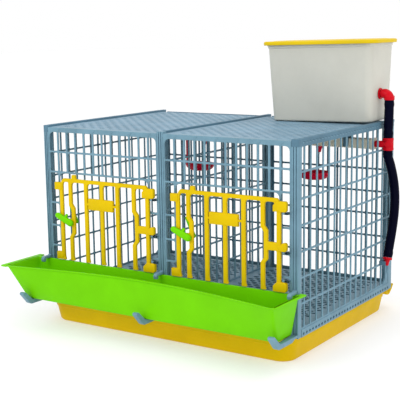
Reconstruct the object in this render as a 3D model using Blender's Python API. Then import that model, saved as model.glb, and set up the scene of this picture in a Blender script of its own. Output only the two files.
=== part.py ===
"""Two-bay small-livestock cage with feed trough, dropping tray, header tank and drinkers.

Frame: metres, +Z up, the doors face -Y, origin at the centre of the tray's underside.
All driving dimensions below are in millimetres and are scaled once, in the mesh helpers.
"""
import math

import bmesh
import bpy
from mathutils import Matrix, Vector

MM = 0.001
GAP = 0.3

# Cage envelope
HALF_W = 318.5
FRONT_Y = -215.5
BACK_Y = 236.5
RAIL_Z0 = 52.0
RAIL_Z1 = 71.0
ROOF_Z = 436.0
RIDGE_Z = 440.0
LEDGE_H = 10.0
TOP_RAIL_Z0 = 425.0
BAR = 5.4

# Bays, measured between the clear faces of the upright panels
BAY_X = (-156.0, 156.0)
BAY_HALF = 146.5
MID_X0 = -9.5
MID_X1 = 5.5
EDGE_STRIP = 4.0

# Side lattice
SIDE_BAR_Z0 = 119.0
SIDE_BAR_DZ = 51.6
SIDE_BAR_ROWS = 6
SIDE_BAR_Y0 = 26.7
SIDE_BAR_DY = 26.3
SIDE_BAR_COLS = tuple(range(16))
DIVIDER_BAR_COLS = (0, 2, 4, 6, 8, 10, 12, 14.4)
SIDE_SKIN = 6.0
FRONT_POST = 14.0
BACK_POST = 19.0

# Front lattice and doorway
FRONT_BAR_DX = 24.6
FRONT_BAR_T = 6.0
FRONT_RAIL_Z0 = 426.0
FRONT_ROW_Z = (382.5, 337.7)
STUB_Z = (268.6, 217.3, 171.6)

# Doors, as offsets from the bay centre
DOOR_Y0 = FRONT_Y - 9.0
DOOR_Y1 = FRONT_Y - 3.0
DOOR_U0 = -115.0
DOOR_U1 = 128.5
DOOR_Z0 = 143.5
DOOR_Z1 = 326.5
DOOR_BAR = 9.0
DOOR_BARS_U = (-41.0, 2.5, 45.0)
DOOR_JOG_U = (-85.0, 88.5)
DOOR_JOG = 7.0
HINGE_U = 136.0
HINGE_Y = FRONT_Y - 6.0
HINGE_PIN_R = 2.1
HINGE_BORE_R = 2.45
# Z span of each knuckle, and whether its pin comes down from a lug above it
HINGE_KNUCKLES = ((143.5, 163.5, True), (223.5, 241.0, False), (300.5, 321.5, False))
LATCH_U = -83.0
LATCH_Z = 229.0
LATCH_SHAFT_R = 3.2
LATCH_BORE_R = 3.5
LATCH_CAM_REST = math.radians(115.0)

# Feed trough
TROUGH_X0 = -327.0
TROUGH_X1 = 308.5
TROUGH_FLARE = 15.5
TROUGH_Z0 = 60.5
TROUGH_H = 81.0
TROUGH_Y0 = FRONT_Y - 66.0
TROUGH_Y1 = FRONT_Y - 4.0
TROUGH_FRONT_FLARE = 46.0
TROUGH_PINCH = 46.0
TROUGH_WALL = 3.0
ARM_X = (-312.5, -2.0, 312.5)
ARM_W = 11.0

# Dropping tray
TRAY_HALF_X = 300.0
TRAY_HALF_Y = 219.5
TRAY_H = 50.6
TRAY_FLARE = 9.0
TRAY_R = 30.0
TRAY_REAR_R = 12.0
TRAY_WALL = 3.0

# Water side
TANK_C = (187.5, 182.0)
TANK_BASE = (119.5, 56.0)
TANK_TOP = (127.5, 64.0)
TANK_H = 174.0
TANK_Z = 436.5
TANK_YAW = math.radians(1.0)
TANK_TILT = math.radians(-1.0)
TANK_WALL = 3.0
PIPE_Y = 166.0
PIPE_Z = 391.5
PIPE_HALF = 11.0
PIPE_X = (-262.0, 297.0)
HOSE_X = 332.0
HOSE_Y = 173.0
HOSE_R = 10.8
UPPER_HOSE_Z1 = 487.0
UPPER_HOSE_Z0 = 405.5
TEE_Z1 = UPPER_HOSE_Z0 - GAP
TEE_Z0 = 378.0
LOWER_HOSE_Z1 = TEE_Z0 - GAP
LOWER_HOSE_Z0 = 137.5
CUP_U = -2.0
NIPPLE_U = 12.5
CUP_Z = 302.0

PARTS = "livestock_cage"
CUTTERS = "livestock_cage_cutters"

MATERIALS = {
    "cage_grey": ((0.235, 0.335, 0.405), 0.42, 0.0),
    "cage_grey_dark": ((0.165, 0.255, 0.325), 0.45, 0.0),
    "lime": ((0.215, 0.68, 0.012), 0.35, 0.0),
    "door_yellow": ((0.82, 0.61, 0.012), 0.38, 0.0),
    "tray_amber": ((0.68, 0.42, 0.008), 0.36, 0.0),
    "lid_yellow": ((0.84, 0.60, 0.03), 0.36, 0.0),
    "tank_natural": ((0.62, 0.62, 0.56), 0.40, 0.0),
    "fitting_red": ((0.62, 0.012, 0.018), 0.30, 0.0),
    "cup_red": ((0.42, 0.008, 0.028), 0.32, 0.0),
    "hose_black": ((0.008, 0.009, 0.020), 0.38, 0.0),
    "pipe_cream": ((0.66, 0.60, 0.47), 0.42, 0.0),
    "pin_steel": ((0.55, 0.56, 0.57), 0.28, 1.0),
}


def reset():
    for obj in list(bpy.data.objects):
        bpy.data.objects.remove(obj, do_unlink=True)
    for name in (PARTS, CUTTERS):
        coll = bpy.data.collections.new(name)
        bpy.context.scene.collection.children.link(coll)


def material(obj, key):
    colour, rough, metal = MATERIALS[key]
    mat = bpy.data.materials.new(obj.name + "_" + key)
    mat.use_nodes = True
    shader = mat.node_tree.nodes["Principled BSDF"]
    shader.inputs["Base Color"].default_value = (*colour, 1.0)
    shader.inputs["Roughness"].default_value = rough
    shader.inputs["Metallic"].default_value = metal
    mat.diffuse_color = (*colour, 1.0)
    obj.data.materials.clear()
    obj.data.materials.append(mat)


def from_bmesh(name, bm, key=None, coll=PARTS):
    bmesh.ops.remove_doubles(bm, verts=bm.verts, dist=1e-4)
    bmesh.ops.recalc_face_normals(bm, faces=bm.faces)
    mesh = bpy.data.meshes.new(name)
    bm.to_mesh(mesh)
    bm.free()
    mesh.transform(Matrix.Scale(MM, 4))
    obj = bpy.data.objects.new(name, mesh)
    bpy.data.collections[coll].objects.link(obj)
    if key:
        material(obj, key)
    return obj


def cutter(name, bm):
    obj = from_bmesh(name, bm, coll=CUTTERS)
    obj.hide_render = True
    obj.display_type = "WIRE"
    return obj


def boolean(obj, tool, operation):
    mod = obj.modifiers.new(operation.title() + "_" + tool.name[:40], "BOOLEAN")
    mod.operation = operation
    mod.solver = "EXACT"
    mod.object = tool
    return mod


def cells_bmesh(boxes, holes=()):
    """One closed skin around a union of axis-aligned boxes, less the holes."""
    cuts = []
    for axis in range(3):
        raw = set()
        for b in list(boxes) + list(holes):
            raw.update((round(b[2 * axis], 4), round(b[2 * axis + 1], 4)))
        cuts.append(sorted(raw))
    xs, ys, zs = cuts
    solid = set()
    for group, fill in ((boxes, True), (holes, False)):
        for b in group:
            span = []
            for axis, line in enumerate(cuts):
                low = line.index(round(b[2 * axis], 4))
                high = line.index(round(b[2 * axis + 1], 4))
                span.append(range(low, high))
            cell_set = {(i, j, k) for i in span[0] for j in span[1] for k in span[2]}
            solid = solid | cell_set if fill else solid - cell_set
    bm = bmesh.new()
    verts = {}

    def vert(i, j, k):
        if (i, j, k) not in verts:
            verts[(i, j, k)] = bm.verts.new((xs[i], ys[j], zs[k]))
        return verts[(i, j, k)]

    sides = (
        ((-1, 0, 0), ((0, 0, 0), (0, 0, 1), (0, 1, 1), (0, 1, 0))),
        ((1, 0, 0), ((1, 0, 0), (1, 1, 0), (1, 1, 1), (1, 0, 1))),
        ((0, -1, 0), ((0, 0, 0), (1, 0, 0), (1, 0, 1), (0, 0, 1))),
        ((0, 1, 0), ((0, 1, 0), (0, 1, 1), (1, 1, 1), (1, 1, 0))),
        ((0, 0, -1), ((0, 0, 0), (0, 1, 0), (1, 1, 0), (1, 0, 0))),
        ((0, 0, 1), ((0, 0, 1), (1, 0, 1), (1, 1, 1), (0, 1, 1))),
    )
    for i, j, k in sorted(solid):
        for (di, dj, dk), corners in sides:
            if (i + di, j + dj, k + dk) in solid:
                continue
            bm.faces.new([vert(i + a, j + b, k + c) for a, b, c in corners])
    bmesh.ops.dissolve_limit(bm, angle_limit=0.001, verts=bm.verts, edges=bm.edges)
    return bm


def cells(name, boxes, key, holes=()):
    return from_bmesh(name, cells_bmesh(boxes, holes), key)


def prism_bmesh(outline, axis, low, high):
    """Extrude a closed 2D outline along X, Y or Z."""
    place = {
        "X": lambda a, b, w: (w, a, b),
        "Y": lambda a, b, w: (a, w, b),
        "Z": lambda a, b, w: (a, b, w),
    }[axis]
    bm = bmesh.new()
    rings = [[bm.verts.new(place(a, b, w)) for a, b in outline] for w in (low, high)]
    count = len(outline)
    for n in range(count):
        m = (n + 1) % count
        bm.faces.new((rings[0][n], rings[0][m], rings[1][m], rings[1][n]))
    bm.faces.new(rings[0])
    bm.faces.new(list(reversed(rings[1])))
    return bm


def rod_bmesh(start, end, radius, segments=14, radius_end=None):
    start, end = Vector(start), Vector(end)
    length = (end - start).length
    turn = (end - start).to_track_quat("Z", "Y").to_matrix().to_4x4()
    place = Matrix.Translation((start + end) / 2) @ turn
    bm = bmesh.new()
    bmesh.ops.create_cone(
        bm, cap_ends=True, segments=segments, radius1=radius,
        radius2=radius if radius_end is None else radius_end, depth=length, matrix=place,
    )
    return bm


def loft_bmesh(rings, closed=False):
    """Skin a list of equal-length rings; capped at both ends unless closed on itself."""
    bm = bmesh.new()
    rows = [[bm.verts.new(p) for p in ring] for ring in rings]
    count = len(rows[0])
    pairs = list(zip(rows, rows[1:]))
    if closed:
        pairs.append((rows[-1], rows[0]))
    for low, high in pairs:
        for n in range(count):
            m = (n + 1) % count
            bm.faces.new((low[n], low[m], high[m], high[n]))
    if not closed:
        bm.faces.new(list(reversed(rows[0])))
        bm.faces.new(rows[-1])
    return bm


def rounded_ring(half_x, half_y, radius, z, centre=(0.0, 0.0), steps=5, rear=None):
    points = []
    front = radius
    for corner, (sx, sy) in enumerate(((1, 1), (-1, 1), (-1, -1), (1, -1))):
        radius = front if rear is None or sy < 0 else rear
        for n in range(steps + 1):
            angle = math.radians(90.0 * corner + 90.0 * n / steps)
            x = sx * (half_x - radius) + radius * math.cos(angle)
            y = sy * (half_y - radius) + radius * math.sin(angle)
            points.append((centre[0] + x, centre[1] + y, z))
    return points


def tube(name, points, radius, key, resolution=3):
    """A capped round tube along a polyline, left as a mesh."""
    curve = bpy.data.curves.new(name, "CURVE")
    curve.dimensions = "3D"
    curve.bevel_depth = radius * MM
    curve.bevel_resolution = resolution
    curve.use_fill_caps = True
    spline = curve.splines.new("POLY")
    spline.points.add(len(points) - 1)
    for point, co in zip(spline.points, points):
        point.co = (co[0] * MM, co[1] * MM, co[2] * MM, 1.0)
    source = bpy.data.objects.new(name + "_curve", curve)
    bpy.data.collections[PARTS].objects.link(source)
    graph = bpy.context.evaluated_depsgraph_get()
    mesh = bpy.data.meshes.new_from_object(source.evaluated_get(graph))
    mesh.transform(source.matrix_world)
    bpy.data.objects.remove(source, do_unlink=True)
    bm = bmesh.new()
    bm.from_mesh(mesh)
    bmesh.ops.remove_doubles(bm, verts=bm.verts, dist=1e-6)
    bmesh.ops.recalc_face_normals(bm, faces=bm.faces)
    bm.to_mesh(mesh)
    bm.free()
    mesh.name = name
    obj = bpy.data.objects.new(name, mesh)
    bpy.data.collections[PARTS].objects.link(obj)
    material(obj, key)
    return obj


# ---------------------------------------------------------------- cage panels

def side_lattice(x_low, x_high, columns):
    """Boxes of an upright lattice between the two posts of a side or divider panel."""
    boxes = []
    y_low = FRONT_Y + FRONT_POST
    y_high = BACK_Y - BACK_POST
    for row in range(SIDE_BAR_ROWS):
        z = SIDE_BAR_Z0 + row * SIDE_BAR_DZ
        boxes.append((x_low, x_high, y_low, y_high, z - BAR / 2, z + BAR / 2))
    for col in columns:
        y = FRONT_Y + SIDE_BAR_Y0 + col * SIDE_BAR_DY
        boxes.append((x_low, x_high, y - BAR / 2, y + BAR / 2, RAIL_Z1, TOP_RAIL_Z0))
    return boxes


def side_panel(name, sign):
    outer = sign * HALF_W
    skin = sign * (HALF_W - SIDE_SKIN)
    inner = sign * (BAY_X[1] + BAY_HALF)
    front_inner = sign * (BAY_X[1] + BAY_HALF + (EDGE_STRIP + GAP if sign < 0 else 0.0))
    top_inner = sign * (HALF_W - 10.0)

    def span(a, b):
        return (min(a, b), max(a, b))

    full = span(outer, inner)
    boxes = [
        (*span(outer, front_inner), FRONT_Y, FRONT_Y + FRONT_POST, RAIL_Z0, RIDGE_Z),
        (*full, BACK_Y - BACK_POST, BACK_Y, RAIL_Z0, RIDGE_Z),
        (*span(outer, skin), FRONT_Y, BACK_Y, RAIL_Z0, RAIL_Z1),
        (*span(outer, top_inner), FRONT_Y, BACK_Y, TOP_RAIL_Z0, RIDGE_Z),
        (*full, FRONT_Y + FRONT_POST, BACK_Y - BACK_POST, RAIL_Z0, RAIL_Z0 + LEDGE_H),
    ]
    boxes += side_lattice(*span(outer, skin), SIDE_BAR_COLS)
    return cells(name, boxes, "cage_grey")


def divider_panel():
    boxes = [
        (MID_X0, MID_X1, FRONT_Y, FRONT_Y + FRONT_POST, RAIL_Z0, RIDGE_Z),
        (MID_X0, MID_X1, BACK_Y - BACK_POST, BACK_Y, RAIL_Z0, RIDGE_Z),
        (MID_X0, MID_X1, FRONT_Y, BACK_Y, RAIL_Z0, RAIL_Z0 + LEDGE_H),
        (-5.0, 1.0, FRONT_Y, BACK_Y, RAIL_Z0, RAIL_Z1),
        (-7.0, 3.0, FRONT_Y, BACK_Y, TOP_RAIL_Z0, RIDGE_Z),
    ]
    boxes += side_lattice(-5.0, 1.0, DIVIDER_BAR_COLS)
    return cells("divider_panel", boxes, "cage_grey")


def bay_edges(bay):
    """Clear X limits of a bay at its front and back panels, gaps included."""
    if bay == 0:
        return -HALF_W + 16.0 - EDGE_STRIP + GAP, MID_X0 - GAP
    return MID_X1 + GAP, HALF_W - 16.0 - GAP


def front_panel(name, bay):
    cx = BAY_X[bay]
    x_low, x_high = bay_edges(bay)
    y_low, y_high = FRONT_Y, FRONT_Y + FRONT_BAR_T
    left = (x_low, cx - BAY_HALF)
    right = (cx + BAY_HALF - 3.5, x_high)
    boxes = [
        (*left, y_low, y_high, RAIL_Z0 + 7.0, ROOF_Z),
        (*right, y_low, y_high, RAIL_Z0 + 7.0, ROOF_Z),
        (x_low, x_high, y_low, y_high, FRONT_RAIL_Z0, ROOF_Z),
        (x_low, x_high, y_low, y_high, RAIL_Z0 + 7.0, RAIL_Z1),
    ]
    for z in FRONT_ROW_Z:
        boxes.append((x_low, x_high, y_low, y_high, z - BAR / 2, z + BAR / 2))
    for k in range(-5, 6):
        x = cx + k * FRONT_BAR_DX
        z_low = STUB_Z[-1] - BAR / 2 if abs(k) == 5 else FRONT_ROW_Z[1]
        boxes.append((x - BAR / 2, x + BAR / 2, y_low, y_high, z_low, FRONT_RAIL_Z0))
    edge = 5 * FRONT_BAR_DX
    for z in STUB_Z:
        boxes.append((left[0], cx - edge, y_low, y_high, z - BAR / 2, z + BAR / 2))
        boxes.append((cx + edge, right[1], y_low, y_high, z - BAR / 2, z + BAR / 2))
    panel = cells(name, boxes, "cage_grey")
    for n, (z_low, z_high, from_top) in enumerate(HINGE_KNUCKLES):
        hx = cx + HINGE_U
        lug_z = (z_high + 0.6, z_high + 4.5) if from_top else (z_low - 4.5, z_low - 0.6)
        lug = cells_bmesh([
            (hx - 3.2, cx + BAY_HALF - 1.0, HINGE_Y - 3.2, HINGE_Y + 3.2, *lug_z),
            (hx + 1.0, cx + BAY_HALF - 1.0, HINGE_Y - 3.2, y_high - 1.0, *lug_z),
        ])
        boolean(panel, cutter(f"{name}_lug_{n}", lug), "UNION")
        pin_z = (z_low + 4.0, z_high + 2.0) if from_top else (z_low - 2.0, z_high - 4.0)
        pin = rod_bmesh((hx, HINGE_Y, pin_z[0]), (hx, HINGE_Y, pin_z[1]), HINGE_PIN_R)
        boolean(panel, cutter(f"{name}_pin_{n}", pin), "UNION")
    return panel


def back_panel(name, bay):
    x_low, x_high = bay_edges(bay)
    if bay == 0:
        x_low = -HALF_W + 16.0 + GAP
    y_low, y_high = BACK_Y - 6.0, BACK_Y
    boxes = [
        (x_low, x_low + 6.0, y_low, y_high, RAIL_Z0 + 7.0, ROOF_Z),
        (x_high - 6.0, x_high, y_low, y_high, RAIL_Z0 + 7.0, ROOF_Z),
        (x_low, x_high, y_low, y_high, FRONT_RAIL_Z0 - 4.0, ROOF_Z),
        (x_low, x_high, y_low, y_high, RAIL_Z0 + 7.0, RAIL_Z1),
    ]
    for row in range(SIDE_BAR_ROWS):
        z = SIDE_BAR_Z0 + row * SIDE_BAR_DZ
        boxes.append((x_low, x_high, y_low, y_high, z - BAR / 2, z + BAR / 2))
    for k in (-4, -2, 0, 2, 4):
        x = BAY_X[bay] + k * FRONT_BAR_DX
        boxes.append((x - BAR / 2, x + BAR / 2, y_low, y_high, RAIL_Z1, FRONT_RAIL_Z0))
    return cells(name, boxes, "cage_grey_dark")


def slotted_plate(name, x_low, x_high, y_low, y_high, z_low, z_high, cols, rows, key, notch=None):
    margin = 14.0
    web = 12.0
    holes = []
    dx = (x_high - x_low - 2 * margin + web) / cols
    dy = (y_high - y_low - 2 * margin + web) / rows
    for i in range(cols):
        for j in range(rows):
            x = x_low + margin + i * dx
            y = y_low + margin + j * dy
            holes.append((x, x + dx - web, y, y + dy - web, z_low, z_high))
    if notch:
        holes += notch
    return cells(name, [(x_low, x_high, y_low, y_high, z_low, z_high)], key, holes)


def floor_grid(name, bay):
    x_low = (-HALF_W + SIDE_SKIN + GAP) if bay == 0 else 1.0 + GAP
    x_high = (-5.0 - GAP) if bay == 0 else HALF_W - SIDE_SKIN - GAP
    y_low, y_high = FRONT_Y + FRONT_POST + GAP, BACK_Y - BACK_POST - GAP
    z_low = RAIL_Z0 + LEDGE_H + GAP
    return slotted_plate(name, x_low, x_high, y_low, y_high, z_low, z_low + 5.5, 5, 7, "cage_grey_dark")


def roof_panel(name, bay):
    x_low = (-HALF_W + 10.0 + GAP) if bay == 0 else 3.0 + GAP
    x_high = (-7.0 - GAP) if bay == 0 else HALF_W - 10.0 - GAP
    y_low, y_high = FRONT_Y + FRONT_POST + GAP, BACK_Y - BACK_POST - GAP
    return slotted_plate(name, x_low, x_high, y_low, y_high, ROOF_Z - 6.0, ROOF_Z, 5, 7, "cage_grey")


# ---------------------------------------------------------------- doors

def door(name, bay):
    cx = BAY_X[bay]
    half = DOOR_BAR / 2
    y_span = (DOOR_Y0, DOOR_Y1)

    def bar(u, z_low, z_high, width=DOOR_BAR):
        return (cx + u - width / 2, cx + u + width / 2, *y_span, z_low, z_high)

    boxes = [
        (cx + DOOR_U0, cx + DOOR_U1, *y_span, DOOR_Z1 - 8.0, DOOR_Z1),
        bar(DOOR_U0 + half, DOOR_Z0, DOOR_Z1),
        bar(DOOR_U1 - half, DOOR_Z0, DOOR_Z1),
        (cx - 128.0, cx - 108.0, *y_span, 300.0, 317.0),
        (cx - 128.0, cx - 108.0, *y_span, 143.5, 161.0),
        (cx - 34.0, cx + 34.0, *y_span, 262.0, 287.0),
        (cx - 41.0, cx + 45.0, *y_span, 272.0, 276.5),
        (cx - 80.0, cx - 68.0, *y_span, DOOR_Z1 - 8.0, DOOR_Z1 + 9.0),
        (cx + LATCH_U - 9.0, cx + LATCH_U + 8.0, *y_span, LATCH_Z - 8.5, LATCH_Z + 8.5),
        (cx + 93.0, cx + DOOR_U1, *y_span, 223.5, 240.0),
    ]
    boxes += [bar(u, DOOR_Z0, DOOR_Z1) for u in DOOR_BARS_U]
    for u in DOOR_JOG_U:
        boxes.append(bar(u, DOOR_Z0, 204.0))
        boxes.append(bar(u + DOOR_JOG, 196.0, 270.0))
        boxes.append(bar(u, 262.0, DOOR_Z1))
    for z_low, z_high, _ in HINGE_KNUCKLES:
        boxes.append((cx + 113.0, cx + 141.5, DOOR_Y0 - 1.5, DOOR_Y1 + 1.5, z_low, z_high))
    leaf = cells(name, boxes, "door_yellow")
    for n, (z_low, z_high, from_top) in enumerate(HINGE_KNUCKLES):
        hx = cx + HINGE_U
        bore_z = (z_low + 3.5, z_high + 5.0) if from_top else (z_low - 5.0, z_high - 3.5)
        bore = rod_bmesh((hx, HINGE_Y, bore_z[0]), (hx, HINGE_Y, bore_z[1]), HINGE_BORE_R)
        boolean(leaf, cutter(f"{name}_bore_{n}", bore), "DIFFERENCE")
    lx = cx + LATCH_U
    hole = rod_bmesh((lx, DOOR_Y0 - 3.0, LATCH_Z), (lx, DOOR_Y1 + 3.0, LATCH_Z), LATCH_BORE_R)
    boolean(leaf, cutter(f"{name}_latch_bore", hole), "DIFFERENCE")
    return leaf


def capsule_outline(start, end, radius_start, radius_end, steps=6):
    """Outline of a round-ended lever in the XZ plane."""
    heading = math.atan2(end[1] - start[1], end[0] - start[0])
    points = []
    for centre, radius, base in ((end, radius_end, heading), (start, radius_start, heading + math.pi)):
        for n in range(steps + 1):
            angle = base - math.pi / 2 + math.pi * n / steps
            points.append((centre[0] + radius * math.cos(angle), centre[1] + radius * math.sin(angle)))
    return points


def door_latch(name, bay):
    lx = BAY_X[bay] + LATCH_U
    handle = capsule_outline((lx, LATCH_Z), (lx - 35.0, LATCH_Z + 14.5), 7.5, 6.0)
    latch = from_bmesh(name, prism_bmesh(handle, "Y", DOOR_Y0 - 8.0, DOOR_Y0 - 0.6), "lime")
    shaft = rod_bmesh((lx, DOOR_Y0 - 4.0, LATCH_Z), (lx, FRONT_Y + 9.0, LATCH_Z), LATCH_SHAFT_R)
    boolean(latch, cutter(name + "_shaft", shaft), "UNION")
    cam_tip = (lx + 39.5 * math.cos(LATCH_CAM_REST), LATCH_Z + 39.5 * math.sin(LATCH_CAM_REST))
    cam = capsule_outline((lx, LATCH_Z), cam_tip, 4.2, 3.4)
    cam_tool = cutter(name + "_cam", prism_bmesh(cam, "Y", FRONT_Y + 7.0, FRONT_Y + 11.0))
    boolean(latch, cam_tool, "UNION")
    nub = rod_bmesh((lx - 14.0, DOOR_Y0 - 4.0, LATCH_Z + 9.0), (lx - 9.0, DOOR_Y0 - 4.0, LATCH_Z + 18.5), 3.2, 10)
    boolean(latch, cutter(name + "_nub", nub), "UNION")
    return latch


# ---------------------------------------------------------------- trough and its carriers

def trough_ring(t, inset):
    """Plan outline of the trough at height fraction t, pulled in by the wall inset."""
    flare = TROUGH_FLARE * t - inset
    front = TROUGH_Y0 - TROUGH_FRONT_FLARE * t + inset
    back = TROUGH_Y1 - inset
    x_low, x_high = TROUGH_X0 - flare, TROUGH_X1 + flare
    steps = 12
    points = []
    for n in range(steps + 1):
        s = n / steps
        points.append((x_low + (x_high - x_low) * s, front + TROUGH_PINCH * t * math.sin(math.pi * s)))
    for n in range(steps + 1):
        s = 1.0 - n / steps
        points.append((x_low + (x_high - x_low) * s, back))
    return points


def feed_trough():
    def ring(t, inset, z=None):
        height = TROUGH_Z0 + TROUGH_H * t if z is None else z
        return [(x, y, height) for x, y in trough_ring(t, inset)]

    lip = 5.0
    rings = [
        ring(0.0, 0.0), ring(0.96, 0.0), ring(0.965, -lip + 2.0), ring(1.0, -lip + 2.0),
        ring(1.0, TROUGH_WALL), ring(0.04, TROUGH_WALL, TROUGH_Z0 + TROUGH_WALL),
    ]
    trough = from_bmesh("feed_trough", loft_bmesh(rings), "lime")
    top = TROUGH_Z0 + TROUGH_H
    x_low, x_high = TROUGH_X0 - TROUGH_FLARE, TROUGH_X1 + TROUGH_FLARE
    y_low = TROUGH_Y0 - TROUGH_FRONT_FLARE
    flanges = (
        [
            (x_low + 1.5, y_low - 1.0), (x_low - 14.5, y_low - 2.0), (x_low - 14.5, TROUGH_Y1 + 18.0),
            (x_low - 1.0, TROUGH_Y1 + 18.0), (x_low + 1.5, TROUGH_Y1 - 2.0),
        ],
        [
            (x_high - 1.5, y_low + 6.0), (x_high - 1.5, TROUGH_Y1 - 2.0), (HALF_W + 0.8, TROUGH_Y1 + 2.0),
            (HALF_W + 0.8, TROUGH_Y1 + 12.0), (x_high + 9.0, TROUGH_Y1 + 12.0), (x_high + 3.0, y_low + 6.0),
        ],
    )
    for side, outline in zip(("left", "right"), flanges):
        tool = cutter(f"trough_flange_{side}", prism_bmesh(outline, "Z", top - TROUGH_WALL, top))
        boolean(trough, tool, "UNION")
    return trough


def trough_arm(name, x):
    """Cradle arm: runs forward under the trough and turns up in front of it."""
    y = FRONT_Y
    outline = [
        (y - GAP, 55.5), (y - GAP, 60.0), (y - 66.0, 60.0), (y - 70.5, 62.0), (y - 91.0, 81.0),
        (y - 98.0, 81.0), (y - 99.0, 77.0), (y - 78.0, 53.5), (y - 73.0, 51.0), (y - 66.0, 51.0),
        (y - 22.0, 51.0), (y - 12.0, 55.5),
    ]
    return from_bmesh(name, prism_bmesh(outline, "X", x - ARM_W / 2, x + ARM_W / 2), "cage_grey")


def trough_hook(name, x):
    """Retaining hook: reaches from the post over the trough's back rim and down inside it."""
    y = FRONT_Y - GAP
    top = TROUGH_Z0 + TROUGH_H
    outline = [
        (y, top + 8.5), (y, top + 0.8), (y - 19.5, top + 0.8), (y - 20.0, top - 6.0),
        (y - 25.5, top - 6.0), (y - 27.0, top + 1.0), (y - 23.0, top + 5.5), (y - 6.0, top + 6.0),
    ]
    return from_bmesh(name, prism_bmesh(outline, "X", x - 4.0, x + 4.0), "cage_grey")


# ---------------------------------------------------------------- tray

def dropping_tray():
    def ring(half_x, half_y, radius, z):
        return rounded_ring(half_x, half_y, radius, z, steps=5, rear=radius - TRAY_R + TRAY_REAR_R)

    top = TRAY_H
    rim = 2.5
    rings = [
        ring(TRAY_HALF_X - 3.0, TRAY_HALF_Y - 3.0, TRAY_R - 3.0, 0.0),
        ring(TRAY_HALF_X, TRAY_HALF_Y, TRAY_R, 3.0),
        ring(TRAY_HALF_X + TRAY_FLARE, TRAY_HALF_Y + TRAY_FLARE, TRAY_R, top - 3.0),
        ring(TRAY_HALF_X + TRAY_FLARE + rim, TRAY_HALF_Y + TRAY_FLARE + rim, TRAY_R + rim, top - 3.0),
        ring(TRAY_HALF_X + TRAY_FLARE + rim, TRAY_HALF_Y + TRAY_FLARE + rim, TRAY_R + rim, top),
        ring(TRAY_HALF_X + TRAY_FLARE - 3.0, TRAY_HALF_Y + TRAY_FLARE - 3.0, TRAY_R - 3.0, top),
        ring(TRAY_HALF_X - 3.5, TRAY_HALF_Y - 3.5, TRAY_R - 3.5, TRAY_WALL),
    ]
    tray = from_bmesh("dropping_tray", loft_bmesh(rings), "tray_amber")
    y = TRAY_HALF_Y + TRAY_FLARE - 1.0
    pull = [
        (y, top), (y, top - 8.0), (y + 6.0, top - 16.0), (y + 18.0, top - 17.0), (y + 30.0, top - 9.0),
        (y + 41.0, top + 2.0), (y + 39.5, top + 4.0), (y + 28.0, top - 5.0), (y + 17.0, top - 13.0),
        (y + 9.0, top - 12.0), (y + 5.0, top - 5.0), (y + 5.0, top),
    ]
    half = TRAY_HALF_X + TRAY_FLARE + 1.5
    boolean(tray, cutter("tray_pull", prism_bmesh(pull, "X", -half, half)), "UNION")
    return tray


# ---------------------------------------------------------------- water system

def tank_frame():
    """Tank-local to world, in millimetres: local origin at the base centre."""
    yaw = Matrix.Rotation(TANK_YAW, 4, "Z")
    tilt = Matrix.Rotation(TANK_TILT, 4, "Y")
    lift = TANK_Z + math.sin(-TANK_TILT) * TANK_BASE[0]
    return Matrix.Translation((TANK_C[0], TANK_C[1], lift)) @ yaw @ tilt


def tank_ring(t, inset, radius, z):
    half_x = TANK_BASE[0] + (TANK_TOP[0] - TANK_BASE[0]) * t - inset
    half_y = TANK_BASE[1] + (TANK_TOP[1] - TANK_BASE[1]) * t - inset
    return rounded_ring(half_x, half_y, radius, z, steps=4)


def placed(bm, matrix):
    bmesh.ops.transform(bm, matrix=matrix, verts=bm.verts)
    return bm


def outlet_centre():
    """Centre of the outlet on the tank's end wall, in tank-local millimetres."""
    return Vector((TANK_BASE[0] + 2.8, -9.0, 60.0))


def water_tank():
    rings = [
        tank_ring(0.0, 2.0, 12.0, 0.0),
        tank_ring(0.02, 0.0, 14.0, 3.0),
        tank_ring(0.96, 0.0, 16.0, TANK_H - 7.0),
        tank_ring(0.97, -3.0, 19.0, TANK_H - 6.0),
        tank_ring(1.0, -3.0, 19.0, TANK_H),
        tank_ring(1.0, TANK_WALL, 13.0, TANK_H),
        tank_ring(0.02, TANK_WALL, 11.0, TANK_WALL),
    ]
    tank = from_bmesh("water_tank", placed(loft_bmesh(rings), tank_frame()), "tank_natural")
    c = outlet_centre()
    hole = rod_bmesh(c - Vector((12, 0, 0)), c + Vector((12, 0, 0)), 8.4, 20)
    boolean(tank, cutter("tank_outlet_hole", placed(hole, tank_frame())), "DIFFERENCE")
    return tank


def tank_lid():
    z = TANK_H + 0.4
    rings = [
        tank_ring(1.0, -8.5, 22.0, TANK_H - 4.5),
        tank_ring(1.0, -9.5, 23.0, z + 1.0),
        tank_ring(1.0, -6.5, 20.0, z + 3.6),
        tank_ring(1.0, 14.0, 10.0, z + 4.6),
    ]
    inner = [
        tank_ring(1.0, 3.9, 12.5, z + 0.0),
        tank_ring(1.0, -3.8, 19.5, z),
        tank_ring(1.0, -4.6, 20.0, TANK_H - 4.5),
    ]
    bm = bmesh.new()
    rows = [[bm.verts.new(p) for p in ring] for ring in rings + inner[1:]]
    count = len(rows[0])
    order = [3, 2, 1, 0, 5, 4]
    for a, b in zip(order, order[1:]):
        for n in range(count):
            m = (n + 1) % count
            bm.faces.new((rows[a][n], rows[a][m], rows[b][m], rows[b][n]))
    bm.faces.new(rows[3])
    bm.faces.new(rows[4])
    return from_bmesh("tank_lid", placed(bm, tank_frame()), "lid_yellow")


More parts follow.
